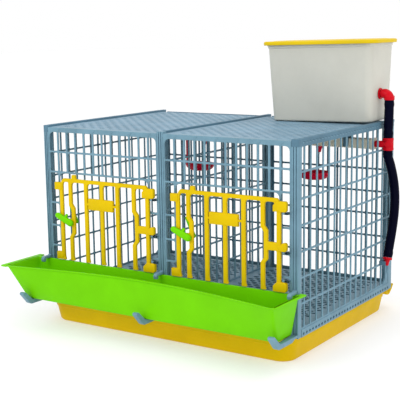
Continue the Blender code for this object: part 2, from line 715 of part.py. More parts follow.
def outlet_parts():
    frame = tank_frame()
    c = outlet_centre()
    start = frame @ (c + Vector((-9.0, 0, 0)))
    wall = frame @ (c + Vector((5.2, 0, 0)))
    bend = Vector((HOSE_X, wall.y, wall.z))
    radius = 11.0
    points = [start, frame @ (c + Vector((-2.0, 0, 0)))]
    corner = Vector((HOSE_X, bend.y, wall.z + 0.3))
    for n in range(7):
        angle = math.radians(90.0 * n / 6)
        points.append(Vector((
            corner.x - radius + radius * math.sin(angle), corner.y,
            corner.z - radius + radius * math.cos(angle),
        )))
    hose_top = UPPER_HOSE_Z1 + GAP
    points.append(Vector((HOSE_X, corner.y, hose_top)))
    elbow = tube("tank_outlet_elbow", [tuple(p) for p in points], 8.0, "fitting_red", 3)
    flange = rod_bmesh(c + Vector((0.8, 0, 0)), c + Vector((4.0, 0, 0)), 12.4, 18)
    boolean(elbow, cutter("elbow_flange", placed(flange, frame)), "UNION")
    body = rod_bmesh(frame @ (c + Vector((0.8, 0, 0))), (HOSE_X - 1.0, corner.y, wall.z), 10.4, 18)
    boolean(elbow, cutter("elbow_socket", body), "UNION")
    collar = rod_bmesh((HOSE_X, corner.y, hose_top), (HOSE_X, corner.y, wall.z - 2.0), 11.6, 18)
    boolean(elbow, cutter("elbow_collar", collar), "UNION")
    nut = from_bmesh(
        "tank_outlet_nut",
        placed(rod_bmesh(c + Vector((-8.4, 0, 0)), c + Vector((-4.2, 0, 0)), 13.4, 6), frame),
        "fitting_red",
    )
    thread = rod_bmesh(c + Vector((-14.0, 0, 0)), c + Vector((2.0, 0, 0)), 8.35, 20)
    boolean(nut, cutter("nut_thread", placed(thread, frame)), "DIFFERENCE")
    return corner.y


def upper_hose(hose_y):
    """Short hose from the elbow down to the tee, upright where each fitting grips it."""
    points = [(HOSE_X, hose_y, UPPER_HOSE_Z1)]
    for n in range(4):
        s = n / 3
        z = UPPER_HOSE_Z1 - 15.0 + (UPPER_HOSE_Z0 - UPPER_HOSE_Z1 + 30.0) * s
        points.append((HOSE_X, hose_y + (HOSE_Y - hose_y) * s, z))
    points.append((HOSE_X, HOSE_Y, UPPER_HOSE_Z0))
    tube("upper_hose", points, HOSE_R, "hose_black", 3)


def lower_hose():
    """Bowed hose from the tee to its end plug; returns its last point and heading."""
    points = [(HOSE_X, HOSE_Y, LOWER_HOSE_Z1)]
    count = 12
    for n in range(count):
        s = n / (count - 1)
        bow = math.sin(math.pi * s ** 0.85) ** 1.15 if s < 1.0 else 0.0
        z = LOWER_HOSE_Z1 - 12.0 + (LOWER_HOSE_Z0 - LOWER_HOSE_Z1 + 12.0) * s
        points.append((HOSE_X + 1.5 * s + 4.0 * bow, HOSE_Y + 5.0 * s + 30.0 * bow, z))
    tube("lower_hose", points, HOSE_R, "hose_black", 3)
    end = Vector(points[-1])
    return end, (end - Vector(points[-2])).normalized()


def pipe_tee():
    tee = from_bmesh(
        "pipe_tee", rod_bmesh((HOSE_X, HOSE_Y, TEE_Z0), (HOSE_X, HOSE_Y, TEE_Z1), 12.4, 20), "fitting_red",
    )
    branch = rod_bmesh((PIPE_X[1] + 8.0, PIPE_Y, PIPE_Z), (HOSE_X, HOSE_Y - 4.0, PIPE_Z), 7.4, 18)
    boolean(tee, cutter("tee_branch", branch), "UNION")


def hose_end(end, heading):
    """Plug in the hose's lower end, and the clip that holds its stem to the corner post."""
    plug = from_bmesh(
        "hose_end_plug", rod_bmesh(end + heading * GAP, end + heading * 5.5, 10.6, 18), "fitting_red",
    )
    stem = rod_bmesh(end + heading * 5.0, end + heading * 19.0, 6.4, 14, 4.2)
    boolean(plug, cutter("plug_stem", stem), "UNION")
    grip = end + heading * 12.0
    y_low, y_high = grip.y - 8.2, grip.y + 8.2
    outline = [
        (HALF_W + GAP, y_low - 1.8), (grip.x + 1.0, y_low - 1.8), (grip.x + 1.0, y_low),
        (grip.x - 7.6, y_low), (grip.x - 7.6, y_high), (grip.x + 1.0, y_high),
        (grip.x + 1.0, y_high + 1.8), (HALF_W + GAP, y_high + 1.8),
    ]
    clip = prism_bmesh(outline, "Z", grip.z - 5.0, grip.z + 4.0)
    from_bmesh("plug_clip", clip, "cage_grey_dark")


def nipple_line():
    x0, x1 = PIPE_X
    line = from_bmesh(
        "nipple_pipe",
        cells_bmesh([(x0, x1, PIPE_Y - PIPE_HALF, PIPE_Y + PIPE_HALF, PIPE_Z - PIPE_HALF, PIPE_Z + PIPE_HALF)]),
        "pipe_cream",
    )
    for bay, cx in enumerate(BAY_X):
        x = cx + NIPPLE_U
        seat = rod_bmesh((x, PIPE_Y, PIPE_Z - PIPE_HALF - 2.0), (x, PIPE_Y, PIPE_Z - 2.0), 5.4, 16)
        boolean(line, cutter(f"nipple_seat_{bay}", seat), "DIFFERENCE")
    cap = [(x0 - 7.0, x0 - GAP, PIPE_Y - 12.5, PIPE_Y + 12.5, PIPE_Z - 12.5, PIPE_Z + 12.5)]
    cells("pipe_end_cap", cap, "fitting_red")
    sock = [(x1 + GAP, x1 + 6.7, PIPE_Y - 12.5, PIPE_Y + 12.5, PIPE_Z - 12.5, PIPE_Z + 12.5)]
    cells("pipe_socket", sock, "pipe_cream")
    for n, x in enumerate((-225.0, -60.0, 90.0, 240.0), start=1):
        y, z, h = PIPE_Y, PIPE_Z, PIPE_HALF + 0.4
        outline = [
            (y - h - 3.0, z - h + 3.0), (y - h, z - h + 3.0), (y - h, z + h), (y + h, z + h),
            (y + h, z - h + 3.0), (y + h + 3.0, z - h + 3.0), (y + h + 3.0, z + h + 4.0),
            (y + 5.0, z + h + 4.0), (y + 5.0, ROOF_Z - 6.0 - GAP), (y - 5.0, ROOF_Z - 6.0 - GAP),
            (y - 5.0, z + h + 4.0), (y - h - 3.0, z + h + 4.0),
        ]
        from_bmesh(f"pipe_clip_{n}", prism_bmesh(outline, "X", x - 6.0, x + 6.0), "cage_grey_dark")


def nipple(side, bay):
    x = BAY_X[bay] + NIPPLE_U
    base = PIPE_Z - PIPE_HALF
    body = from_bmesh(f"nipple_body_{side}", rod_bmesh((x, PIPE_Y, base + 8.0), (x, PIPE_Y, base - 5.0), 5.1, 16), "cup_red")
    hexagon = rod_bmesh((x, PIPE_Y, base - 0.4), (x, PIPE_Y, base - 6.0), 8.0, 6)
    boolean(body, cutter(f"nipple_hex_{side}", hexagon), "UNION")
    cone = rod_bmesh((x, PIPE_Y, base - 5.0), (x, PIPE_Y, base - 15.0), 6.0, 16, 3.6)
    boolean(body, cutter(f"nipple_cone_{side}", cone), "UNION")
    bore = rod_bmesh((x, PIPE_Y, base - 18.0), (x, PIPE_Y, base + 1.0), 1.9, 16)
    boolean(body, cutter(f"nipple_bore_{side}", bore), "DIFFERENCE")
    pin = from_bmesh(
        f"nipple_pin_{side}", rod_bmesh((x, PIPE_Y, base - 19.0), (x, PIPE_Y, base - 3.0), 1.5, 12), "pin_steel",
    )
    return body, pin


def drip_cup(side, bay):
    cx = BAY_X[bay] + CUP_U
    z = CUP_Z
    rows = []
    for half_x, half_y, height in (
        (17.0, 13.0, z), (28.0, 20.0, z + 2.0), (36.0, 26.0, z + 8.0), (39.5, 28.5, z + 18.5),
        (37.3, 26.3, z + 18.5), (33.4, 23.4, z + 9.4), (25.5, 17.5, z + 4.4), (16.0, 12.0, z + 2.4),
    ):
        ring = []
        for n in range(20):
            angle = 2 * math.pi * n / 20
            ring.append((cx + half_x * math.cos(angle), PIPE_Y + half_y * math.sin(angle), height))
        rows.append(ring)
    cup = from_bmesh(f"drip_cup_{side}", loft_bmesh(rows), "cup_red")
    stem_x = cx - 36.0
    hook = cells_bmesh([
        (stem_x - 3.0, stem_x + 3.0, PIPE_Y - 2.5, PIPE_Y + 2.5, z + 9.0, PIPE_Z - PIPE_HALF - 0.8),
        (stem_x - 3.0, stem_x + 3.0, PIPE_Y - 14.5, PIPE_Y + 14.5, PIPE_Z - PIPE_HALF - 3.8, PIPE_Z - PIPE_HALF - 0.8),
        (stem_x - 3.0, stem_x + 3.0, PIPE_Y - 14.5, PIPE_Y - 11.8, PIPE_Z - PIPE_HALF - 3.8, PIPE_Z + PIPE_HALF + 3.6),
        (stem_x - 3.0, stem_x + 3.0, PIPE_Y + 11.8, PIPE_Y + 14.5, PIPE_Z - PIPE_HALF - 3.8, PIPE_Z + PIPE_HALF + 3.6),
        (stem_x - 3.0, stem_x + 3.0, PIPE_Y - 14.5, PIPE_Y + 14.5, PIPE_Z + PIPE_HALF + 0.8, PIPE_Z + PIPE_HALF + 3.6),
    ])
    boolean(cup, cutter(f"cup_hanger_{side}", hook), "UNION")
    return cup


def set_origin(name, x, y, z):
    """Move an object's origin onto its joint axis without moving its surface."""
    obj = bpy.data.objects[name]
    shift = Vector((x * MM, y * MM, z * MM))
    obj.data.transform(Matrix.Translation(-shift))
    obj.location = shift


def build():
    reset()
    side_panel("side_panel_left", -1)
    side_panel("side_panel_right", 1)
    divider_panel()
    for bay, side in enumerate(("left", "right")):
        front_panel(f"front_panel_{side}", bay)
        back_panel(f"back_panel_{side}", bay)
        floor_grid(f"floor_grid_{side}", bay)
        roof_panel(f"roof_panel_{side}", bay)
        door(f"door_{side}", bay)
        door_latch(f"door_latch_{side}", bay)
        nipple(side, bay)
        drip_cup(side, bay)
    feed_trough()
    for x, where in zip(ARM_X, ("left", "middle", "right")):
        trough_arm(f"trough_arm_{where}", x)
        trough_hook(f"trough_hook_{where}", x)
    dropping_tray()
    water_tank()
    tank_lid()
    upper_hose(outlet_parts())
    pipe_tee()
    hose_end(*lower_hose())
    nipple_line()
    for bay, side in enumerate(("left", "right")):
        set_origin(f"door_{side}", BAY_X[bay] + HINGE_U, HINGE_Y, 0.0)
        set_origin(f"door_latch_{side}", BAY_X[bay] + LATCH_U, DOOR_Y0, LATCH_Z)


build()
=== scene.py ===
"""Visual model of the two-bay livestock cage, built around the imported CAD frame."""
import math

import bmesh
import bpy
from mathutils import Matrix, Vector


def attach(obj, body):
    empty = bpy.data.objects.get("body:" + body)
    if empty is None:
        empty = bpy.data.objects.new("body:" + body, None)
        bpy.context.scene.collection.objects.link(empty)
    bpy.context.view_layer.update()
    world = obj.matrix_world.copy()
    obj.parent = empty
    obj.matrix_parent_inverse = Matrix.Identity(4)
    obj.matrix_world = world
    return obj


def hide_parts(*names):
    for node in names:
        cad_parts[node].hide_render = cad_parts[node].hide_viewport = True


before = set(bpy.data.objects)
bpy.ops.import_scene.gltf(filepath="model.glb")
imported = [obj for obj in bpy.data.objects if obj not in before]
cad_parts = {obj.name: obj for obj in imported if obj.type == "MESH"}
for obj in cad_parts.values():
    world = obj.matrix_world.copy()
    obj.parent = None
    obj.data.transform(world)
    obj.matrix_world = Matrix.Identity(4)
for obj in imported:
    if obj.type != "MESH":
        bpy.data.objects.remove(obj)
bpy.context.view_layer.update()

MM = 0.001
GAP = 0.3  # clearance between pieces that snap together, millimetres

# ---------------- dimensions, millimetres
HALF_W = 318.5
FRONT_Y = -215.5
BACK_Y = 236.5
FRONT_POST_Y, BACK_POST_Y = FRONT_Y + 14.0, BACK_Y - 19.0
RAIL_Z0 = 52.0
RAIL_Z1 = 71.0
ROOF_Z = 436.0
RIDGE_Z = 440.0
TOP_RAIL_Z0 = 425.0
BAY_X = (-156.0, 156.0)
BAY_HALF = 146.5
MID_X = (-9.5, 5.5)
SIDE_Z = [119.0 + 51.6 * n for n in range(6)]
SIDE_Y = [FRONT_Y + 26.7 + 26.3 * n for n in range(16)]
FRONT_DX = 24.6
FRONT_ROW_Z = (382.5, 337.7)
STUB_Z = (268.6, 217.3, 171.6)
DOOR_Y = (FRONT_Y - 9.0, FRONT_Y - 3.0)
LATCH_U, LATCH_Z = -83.0, 229.0
HINGE_U = 136.0
HINGE_Y = FRONT_Y - 6.0
HINGE_KNUCKLES = ((143.5, 163.5, True), (223.5, 241.0, False), (300.5, 321.5, False))
PIPE_Y, PIPE_Z, PIPE_HALF = 166.0, 391.5, 11.0
SLEEVE_HALF = 12.5
CUP_STEPS = 40
PIPE_X = (-262.0, 297.0)
HOSE_X, HOSE_Y, HOSE_R = 332.0, 173.0, 10.8
CUP_U, NIPPLE_U, CUP_Z = -2.0, 12.5, 302.0
TANK_C = (187.5, 182.0)
TANK_BASE = (119.5, 56.0)
TANK_TOP = (127.5, 64.0)
TANK_H, TANK_Z = 174.0, 436.5
TANK_YAW, TANK_TILT = math.radians(1.0), math.radians(-1.0)

# ---------------- camera

def set_camera():
    data = bpy.data.cameras.new("view_camera")
    data.sensor_width = 36.0
    data.lens = 90.6
    data.clip_start = 0.05
    cam = bpy.data.objects.new("view_camera", data)
    bpy.context.scene.collection.objects.link(cam)
    azimuth, elevation, roll = math.radians(33.71), math.radians(9.84), math.radians(-0.81)
    back = Vector((
        math.sin(azimuth) * math.cos(elevation),
        -math.cos(azimuth) * math.cos(elevation),
        math.sin(elevation),
    ))
    side = (-back).cross(Vector((0, 0, 1))).normalized()
    up = side.cross(-back)
    right = side * math.cos(roll) + up * math.sin(roll)
    top = up * math.cos(roll) - side * math.sin(roll)
    target = Vector((0.0015, -0.075, 0.2774))
    place = Matrix((right, top, back)).transposed().to_4x4()
    place.translation = target + back * 2.1956
    cam.matrix_world = place
    bpy.context.scene.camera = cam


set_camera()

# ---------------- materials

def plastic(
    name, base, rough=0.4, vary=0.12, bump=0.15, grain=900.0, coat=0.0, grime=None, translucent=0.0,
    shine=0.06
):
    """Moulded plastic: two scales of colour drift, fine surface grain, drifting gloss."""
    mat = bpy.data.materials.new(name)
    mat.use_nodes = True
    nodes, links = mat.node_tree.nodes, mat.node_tree.links
    shader = nodes["Principled BSDF"]
    shader.inputs["Roughness"].default_value = rough
    shader.inputs["Coat Weight"].default_value = coat
    shader.inputs["Coat Roughness"].default_value = 0.25
    shader.inputs["IOR"].default_value = 1.48
    shader.inputs["Specular IOR Level"].default_value = shine
    coords = nodes.new("ShaderNodeTexCoord")

    def noise(scale, detail=4.0, rough_n=0.55):
        tex = nodes.new("ShaderNodeTexNoise")
        tex.inputs["Scale"].default_value = scale
        tex.inputs["Detail"].default_value = detail
        tex.inputs["Roughness"].default_value = rough_n
        links.new(coords.outputs["Object"], tex.inputs["Vector"])
        return tex

    def ramp(source, low, high, stops):
        node = nodes.new("ShaderNodeValToRGB")
        node.color_ramp.elements[0].position = stops[0]
        node.color_ramp.elements[1].position = stops[1]
        node.color_ramp.elements[0].color = low
        node.color_ramp.elements[1].color = high
        links.new(source, node.inputs["Fac"])
        return node

    dark = tuple(c * (1.0 - vary) for c in base) + (1.0,)
    light = tuple(min(1.0, c * (1.0 + vary)) for c in base) + (1.0,)
    broad = ramp(noise(14.0, 3.0).outputs["Fac"], dark, light, (0.3, 0.7))
    speck = ramp(noise(160.0, 5.0, 0.7).outputs["Fac"], (0.86, 0.86, 0.86, 1), (1, 1, 1, 1), (0.3, 0.6))
    mix = nodes.new("ShaderNodeMixRGB")
    mix.blend_type = "MULTIPLY"
    mix.inputs["Fac"].default_value = min(1.0, vary * 3.0)
    links.new(broad.outputs["Color"], mix.inputs["Color1"])
    links.new(speck.outputs["Color"], mix.inputs["Color2"])
    colour = mix.outputs["Color"]
    if grime:
        stain = ramp(noise(38.0, 6.0, 0.65).outputs["Fac"], (0, 0, 0, 1), (1, 1, 1, 1), (0.52, 0.78))
        over = nodes.new("ShaderNodeMixRGB")
        over.inputs["Color2"].default_value = (*grime, 1.0)
        soften = nodes.new("ShaderNodeMath")
        soften.operation = "MULTIPLY"
        soften.inputs[1].default_value = 0.35
        links.new(stain.outputs["Color"], soften.inputs[0])
        links.new(soften.outputs["Value"], over.inputs["Fac"])
        links.new(colour, over.inputs["Color1"])
        colour = over.outputs["Color"]
    links.new(colour, shader.inputs["Base Color"])
    gloss = nodes.new("ShaderNodeMapRange")
    gloss.inputs["To Min"].default_value = max(0.05, rough - 0.08)
    gloss.inputs["To Max"].default_value = rough + 0.10
    links.new(noise(45.0, 4.0).outputs["Fac"], gloss.inputs["Value"])
    links.new(gloss.outputs["Result"], shader.inputs["Roughness"])
    relief = nodes.new("ShaderNodeBump")
    relief.inputs["Strength"].default_value = bump
    relief.inputs["Distance"].default_value = 0.0004
    links.new(noise(grain, 3.0).outputs["Fac"], relief.inputs["Height"])
    links.new(relief.outputs["Normal"], shader.inputs["Normal"])
    if translucent:
        shader.inputs["Subsurface Weight"].default_value = translucent
        shader.inputs["Subsurface Radius"].default_value = (1.0, 0.95, 0.8)
        shader.inputs["Subsurface Scale"].default_value = 0.006
    mat.diffuse_color = (*base, 1.0)
    return mat


MATS = {
    "cage": plastic(
        "cage_plastic", (0.155, 0.282, 0.362), 0.38, 0.14, 0.18, grime=(0.085, 0.170, 0.230), shine=0.15
    ),
    "cage_dark": plastic(
        "cage_plastic_dark", (0.092, 0.185, 0.255), 0.45, 0.12, 0.18, shine=0.12,
        grime=(0.045, 0.095, 0.140)
    ),
    # painted shade: a dark copy of the cage plastic for slot walls, plate edges, undersides and the backs
    # of rail recesses, where shade falls
    "cage_painted_shade": plastic(
        "cage_plastic_painted_shade", (0.035, 0.080, 0.118), 0.60, 0.15, 0.18, grime=(0.015, 0.035, 0.055)
    ),
    "roof": plastic(
        "roof_plastic", (0.185, 0.305, 0.400), 0.42, 0.12, 0.18, grime=(0.105, 0.190, 0.260), shine=0.12
    ),
    "lime": plastic("lime_plastic", (0.158, 0.585, 0.001), 0.42, 0.05, 0.10, 700.0),
    "yellow": plastic("door_plastic", (0.680, 0.470, 0.002), 0.40, 0.06, 0.12, 700.0),
    "amber": plastic("tray_plastic", (0.690, 0.450, 0.001), 0.42, 0.06, 0.12, 600.0),
    "lid": plastic("lid_plastic", (0.690, 0.490, 0.010), 0.36, 0.05, 0.10, 600.0),
    "tank": plastic("tank_plastic", (0.570, 0.565, 0.505), 0.38, 0.04, 0.10, 500.0, 0.10, translucent=0.25),
    "red": plastic("fitting_plastic", (0.560, 0.003, 0.012), 0.25, 0.07, 0.08, 800.0, 0.08),
    "cup": plastic("cup_plastic", (0.560, 0.002, 0.028), 0.28, 0.07, 0.08, 800.0, 0.08),
    "hose": plastic("hose_rubber", (0.0018, 0.0020, 0.0110), 0.14, 0.20, 0.04, 900.0, shine=0.03),
    "cream": plastic("pipe_plastic", (0.740, 0.700, 0.580), 0.40, 0.06, 0.10, 700.0),
}


def steel_material():
    mat = bpy.data.materials.new("pin_metal")
    mat.use_nodes = True
    nodes, links = mat.node_tree.nodes, mat.node_tree.links
    shader = nodes["Principled BSDF"]
    shader.inputs["Metallic"].default_value = 1.0
    shader.inputs["Base Color"].default_value = (0.55, 0.56, 0.57, 1.0)
    coords = nodes.new("ShaderNodeTexCoord")
    tex = nodes.new("ShaderNodeTexNoise")
    tex.inputs["Scale"].default_value = 400.0
    links.new(coords.outputs["Object"], tex.inputs["Vector"])
    span = nodes.new("ShaderNodeMapRange")
    span.inputs["To Min"].default_value = 0.2
    span.inputs["To Max"].default_value = 0.4
    links.new(tex.outputs["Fac"], span.inputs["Value"])
    links.new(span.outputs["Result"], shader.inputs["Roughness"])
    return mat


MATS["steel"] = steel_material()

# ---------------- mesh helpers

def add_box(bm, x0, x1, y0, y1, z0, z1):
    v = [bm.verts.new((x, y, z)) for z in (z0, z1) for x, y in ((x0, y0), (x1, y0), (x1, y1), (x0, y1))]
    for f in ((3, 2, 1, 0), (4, 5, 6, 7), (0, 1, 5, 4), (1, 2, 6, 5), (2, 3, 7, 6), (3, 0, 4, 7)):
        bm.faces.new([v[n] for n in f])


def add_prism(bm, outline, axis, low, high):
    place = {
        "X": lambda a, b, w: (w, a, b),
        "Y": lambda a, b, w: (a, w, b),
        "Z": lambda a, b, w: (a, b, w),
    }[axis]
    rings = [[bm.verts.new(place(a, b, w)) for a, b in outline] for w in (low, high)]
    count = len(outline)
    for n in range(count):
        m = (n + 1) % count
        bm.faces.new((rings[0][n], rings[0][m], rings[1][m], rings[1][n]))
    bm.faces.new(rings[0])
    bm.faces.new(list(reversed(rings[1])))


def add_rod(bm, start, end, radius, segments=16, radius_end=None):
    start, end = Vector(start), Vector(end)
    turn = (end - start).to_track_quat("Z", "Y").to_matrix().to_4x4()
    bmesh.ops.create_cone(
        bm, cap_ends=True, segments=segments, radius1=radius,
        radius2=radius if radius_end is None else radius_end,
        depth=(end - start).length, matrix=Matrix.Translation((start + end) / 2) @ turn,
    )


def add_loft(bm, rings, caps=True):
    rows = [[bm.verts.new(p) for p in ring] for ring in rings]
    count = len(rows[0])
    for low, high in zip(rows, rows[1:]):
        for n in range(count):
            m = (n + 1) % count
            bm.faces.new((low[n], low[m], high[m], high[n]))
    if caps:
        bm.faces.new(list(reversed(rows[0])))
        bm.faces.new(rows[-1])


def add_tube(bm, path, radii, segments=20):
    """Round tube along a path with its own radius at each point."""
    rings = []
    points = [Vector(p) for p in path]
    across = None
    for n, point in enumerate(points):
        ahead = (points[min(n + 1, len(points) - 1)] - points[max(n - 1, 0)]).normalized()
        if across is None:
            across = ahead.orthogonal().normalized()
        across = (across - ahead * across.dot(ahead)).normalized()
        other = ahead.cross(across)
        ring = []
        for k in range(segments):
            turn = 2 * math.pi * k / segments
            ring.append(point + (across * math.cos(turn) + other * math.sin(turn)) * radii[n])
        rings.append(ring)
    add_loft(bm, rings)


def rounded_rect(x0, x1, y0, y1, radius, steps=3):
    """Counter-clockwise outline; radius is one number or one per corner from low-low round."""
    radii = radius if isinstance(radius, (tuple, list)) else (radius,) * 4
    corners = ((x0, y0, 180), (x1, y0, 270), (x1, y1, 0), (x0, y1, 90))
    points = []
    for (x, y, start), r in zip(corners, radii):
        r = min(r, (x1 - x0) / 2 - 0.01, (y1 - y0) / 2 - 0.01)
        cx = x + r if x == x0 else x - r
        cy = y + r if y == y0 else y - r
        for n in range(steps + 1):
            a = math.radians(start + 90.0 * n / steps)
            points.append((cx + r * math.cos(a), cy + r * math.sin(a)))
    return points


def finish_piece(name, mesh, mat, nodes, body, smooth=32.0, hole_shade=None):
    mesh.transform(Matrix.Scale(MM, 4))
    mesh.materials.clear()
    mesh.materials.append(MATS[mat])
    # painted shade: hole walls, plate edges and undersides get the second, darker material
    if hole_shade:
        mesh.materials.append(MATS[hole_shade])
        for face in mesh.polygons:
            face.material_index = 1 if abs(face.normal.z) < 0.35 or face.normal.z < -0.9 else 0
    mesh.polygons.foreach_set("use_smooth", [True] * len(mesh.polygons))
    mesh.set_sharp_from_angle(angle=math.radians(smooth))
    obj = bpy.data.objects.new(name, mesh)
    bpy.context.scene.collection.objects.link(obj)
    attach(obj, body)
    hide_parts(*nodes)
    return obj


def piece(name, bm, mat, nodes, body="cage", bevel=0.0, segments=2, smooth=32.0, hole_shade=None):
    bmesh.ops.recalc_face_normals(bm, faces=bm.faces)
    mesh = bpy.data.meshes.new(name)
    bm.to_mesh(mesh)
    bm.free()
    if bevel:
        temp = bpy.data.objects.new(name + "_raw", mesh)
        bpy.context.scene.collection.objects.link(temp)
        mod = temp.modifiers.new("round", "BEVEL")
        mod.width = bevel
        mod.segments = segments
        mod.limit_method = "ANGLE"
        mod.angle_limit = math.radians(30.0)
        graph = bpy.context.evaluated_depsgraph_get()
        mesh = bpy.data.meshes.new_from_object(temp.evaluated_get(graph))
        bpy.data.objects.remove(temp, do_unlink=True)
        mesh.name = name
    return finish_piece(name, mesh, mat, nodes, body, smooth, hole_shade)


def plate_mesh(outline, holes, axis, low, high, bevel):
    """Flat plate with rounded edges: the outline and holes lie in the plane across axis."""
    curve = bpy.data.curves.new("plate", "CURVE")
    curve.dimensions = "2D"
    curve.fill_mode = "BOTH"
    curve.extrude = (high - low) / 2 - bevel
    curve.bevel_depth = bevel
    curve.bevel_resolution = 1
    curve.offset = -bevel
    for n, ring in enumerate([outline] + list(holes)):
        ring = list(ring) if n == 0 else list(reversed(ring))
        spline = curve.splines.new("POLY")
        spline.points.add(len(ring) - 1)
        for point, (a, b) in zip(spline.points, ring):
            point.co = (a, b, 0.0, 1.0)
        spline.use_cyclic_u = True
    temp = bpy.data.objects.new("plate_raw", curve)
    bpy.context.scene.collection.objects.link(temp)
    graph = bpy.context.evaluated_depsgraph_get()
    mesh = bpy.data.meshes.new_from_object(temp.evaluated_get(graph))
    bpy.data.objects.remove(temp, do_unlink=True)
    mid = (low + high) / 2
    turn = {
        "X": Matrix(((0, 0, 1, mid), (1, 0, 0, 0), (0, 1, 0, 0), (0, 0, 0, 1))),
        "Y": Matrix(((1, 0, 0, 0), (0, 0, -1, mid), (0, 1, 0, 0), (0, 0, 0, 1))),
        "Z": Matrix(((1, 0, 0, 0), (0, 1, 0, 0), (0, 0, 1, mid), (0, 0, 0, 1))),
    }[axis]
    mesh.transform(turn)
    return mesh


def add_plate(bm, outline, holes, axis, low, high, bevel):
    mesh = plate_mesh(outline, holes, axis, low, high, bevel)
    bm.from_mesh(mesh)
    bpy.data.meshes.remove(mesh)
    bmesh.ops.remove_doubles(bm, verts=bm.verts, dist=0.01)


def round_polygon(points, steps=4):
    """Round the corners of a polygon given as (a, b, radius)."""
    ring = []
    count = len(points)
    for n, (a, b, radius) in enumerate(points):
        here = Vector((a, b))
        before = Vector(points[n - 1][:2]) - here
        after = Vector(points[(n + 1) % count][:2]) - here
        turn = before.angle(after, math.pi)
        if radius < 0.05 or turn > math.pi - 0.02:
            ring.append((a, b))
            continue
        reach = min(radius / math.tan(turn / 2), before.length * 0.49, after.length * 0.49)
        start, end = here + before.normalized() * reach, here + after.normalized() * reach
        for k in range(steps + 1):
            s = k / steps
            point = start * (1 - s) ** 2 + here * 2 * s * (1 - s) + end * s ** 2
            ring.append((point.x, point.y))
    return ring


def slots(x0, x1, y0, y1, pitch_x, pitch_y, long, wide, radius=1.2):
    """Brick-laid slots that fill a plate, each long in X and wide in Y."""
    holes = []
    rows = int((y1 - y0) / pitch_y)
    start = y0 + ((y1 - y0) - (rows - 1) * pitch_y) / 2
    for row in range(rows):
        y = start + row * pitch_y
        shift = pitch_x / 2 if row % 2 else 0.0
        cols = int((x1 - x0) / pitch_x) + 1
        left = x0 + ((x1 - x0) - (cols - 1) * pitch_x) / 2 - pitch_x / 4 + shift
        for col in range(cols + 1):
            x = left + col * pitch_x
            if x - long / 2 > x0 and x + long / 2 < x1:
                holes.append(
                    rounded_rect(x - long / 2, x + long / 2, y - wide / 2, y + wide / 2, radius, 1)
                )
    return holes


# ---------------- cage

V_BAR, H_BAR, PLATE_T = 4.3, 4.1, 3.4
CORNER_R = 2.0


def lattice_holes(us, u_low, u_high, vs, v_low, v_high, big=16.0):
    """Cells of a bar lattice; the cells in the top corners get a large radius."""
    holes = []
    u_edges = [(u_low, None)] + [(u, V_BAR / 2) for u in us] + [(u_high, None)]
    v_edges = [(v_low, None)] + [(v, H_BAR / 2) for v in vs] + [(v_high, None)]
    for i, ((ua, wa), (ub, wb)) in enumerate(zip(u_edges, u_edges[1:])):
        a0, a1 = ua + (wa or 0.0), ub - (wb or 0.0)
        if a1 - a0 < 3.0:
            continue
        for j, ((va, ha), (vb, hb)) in enumerate(zip(v_edges, v_edges[1:])):
            b0, b1 = va + (ha or 0.0), vb - (hb or 0.0)
            radii = [CORNER_R] * 4
            if j == len(v_edges) - 2 and i == 0:
                radii[3] = big
            if j == len(v_edges) - 2 and i == len(u_edges) - 2:
                radii[2] = big
            holes.append(rounded_rect(a0, a1, b0, b1, tuple(radii), 3))
    return holes


def rail_texture(bm, x_face, thick, z_low, z_high, cut_z, pitch=13.15, size=(7.4, 5.0)):
    """Thin outer skin of a side rail with a row of lozenge recesses."""
    holes = []
    y = FRONT_Y + 22.0
    while y < BACK_Y - 20.0:
        holes.append(
            [
                (y - size[0] / 2, cut_z), (y, cut_z - size[1] / 2), (y + size[0] / 2, cut_z),
                (y, cut_z + size[1] / 2)
            ]
        )
        y += pitch
    low, high = sorted((x_face, x_face - thick))
    add_plate(
        bm, rounded_rect(FRONT_POST_Y, BACK_Y - 16.0, z_low, z_high, 0.5, 1), holes, "X", low, high, 0.3
    )


def ribbed_post(bm, x0, x1, y0, y1, z0, z1, ribs, groove=1.9, sink=2.4):
    """Corner post with narrow grooves down its front face."""
    add_box(bm, x0, x1, y0 + sink, y1, z0, z1)
    width = (x1 - x0 - groove * (ribs - 1)) / ribs
    for n in range(ribs):
        a = x0 + n * (width + groove)
        add_box(bm, a, a + width, y0, y0 + sink + 0.5, z0, z1)


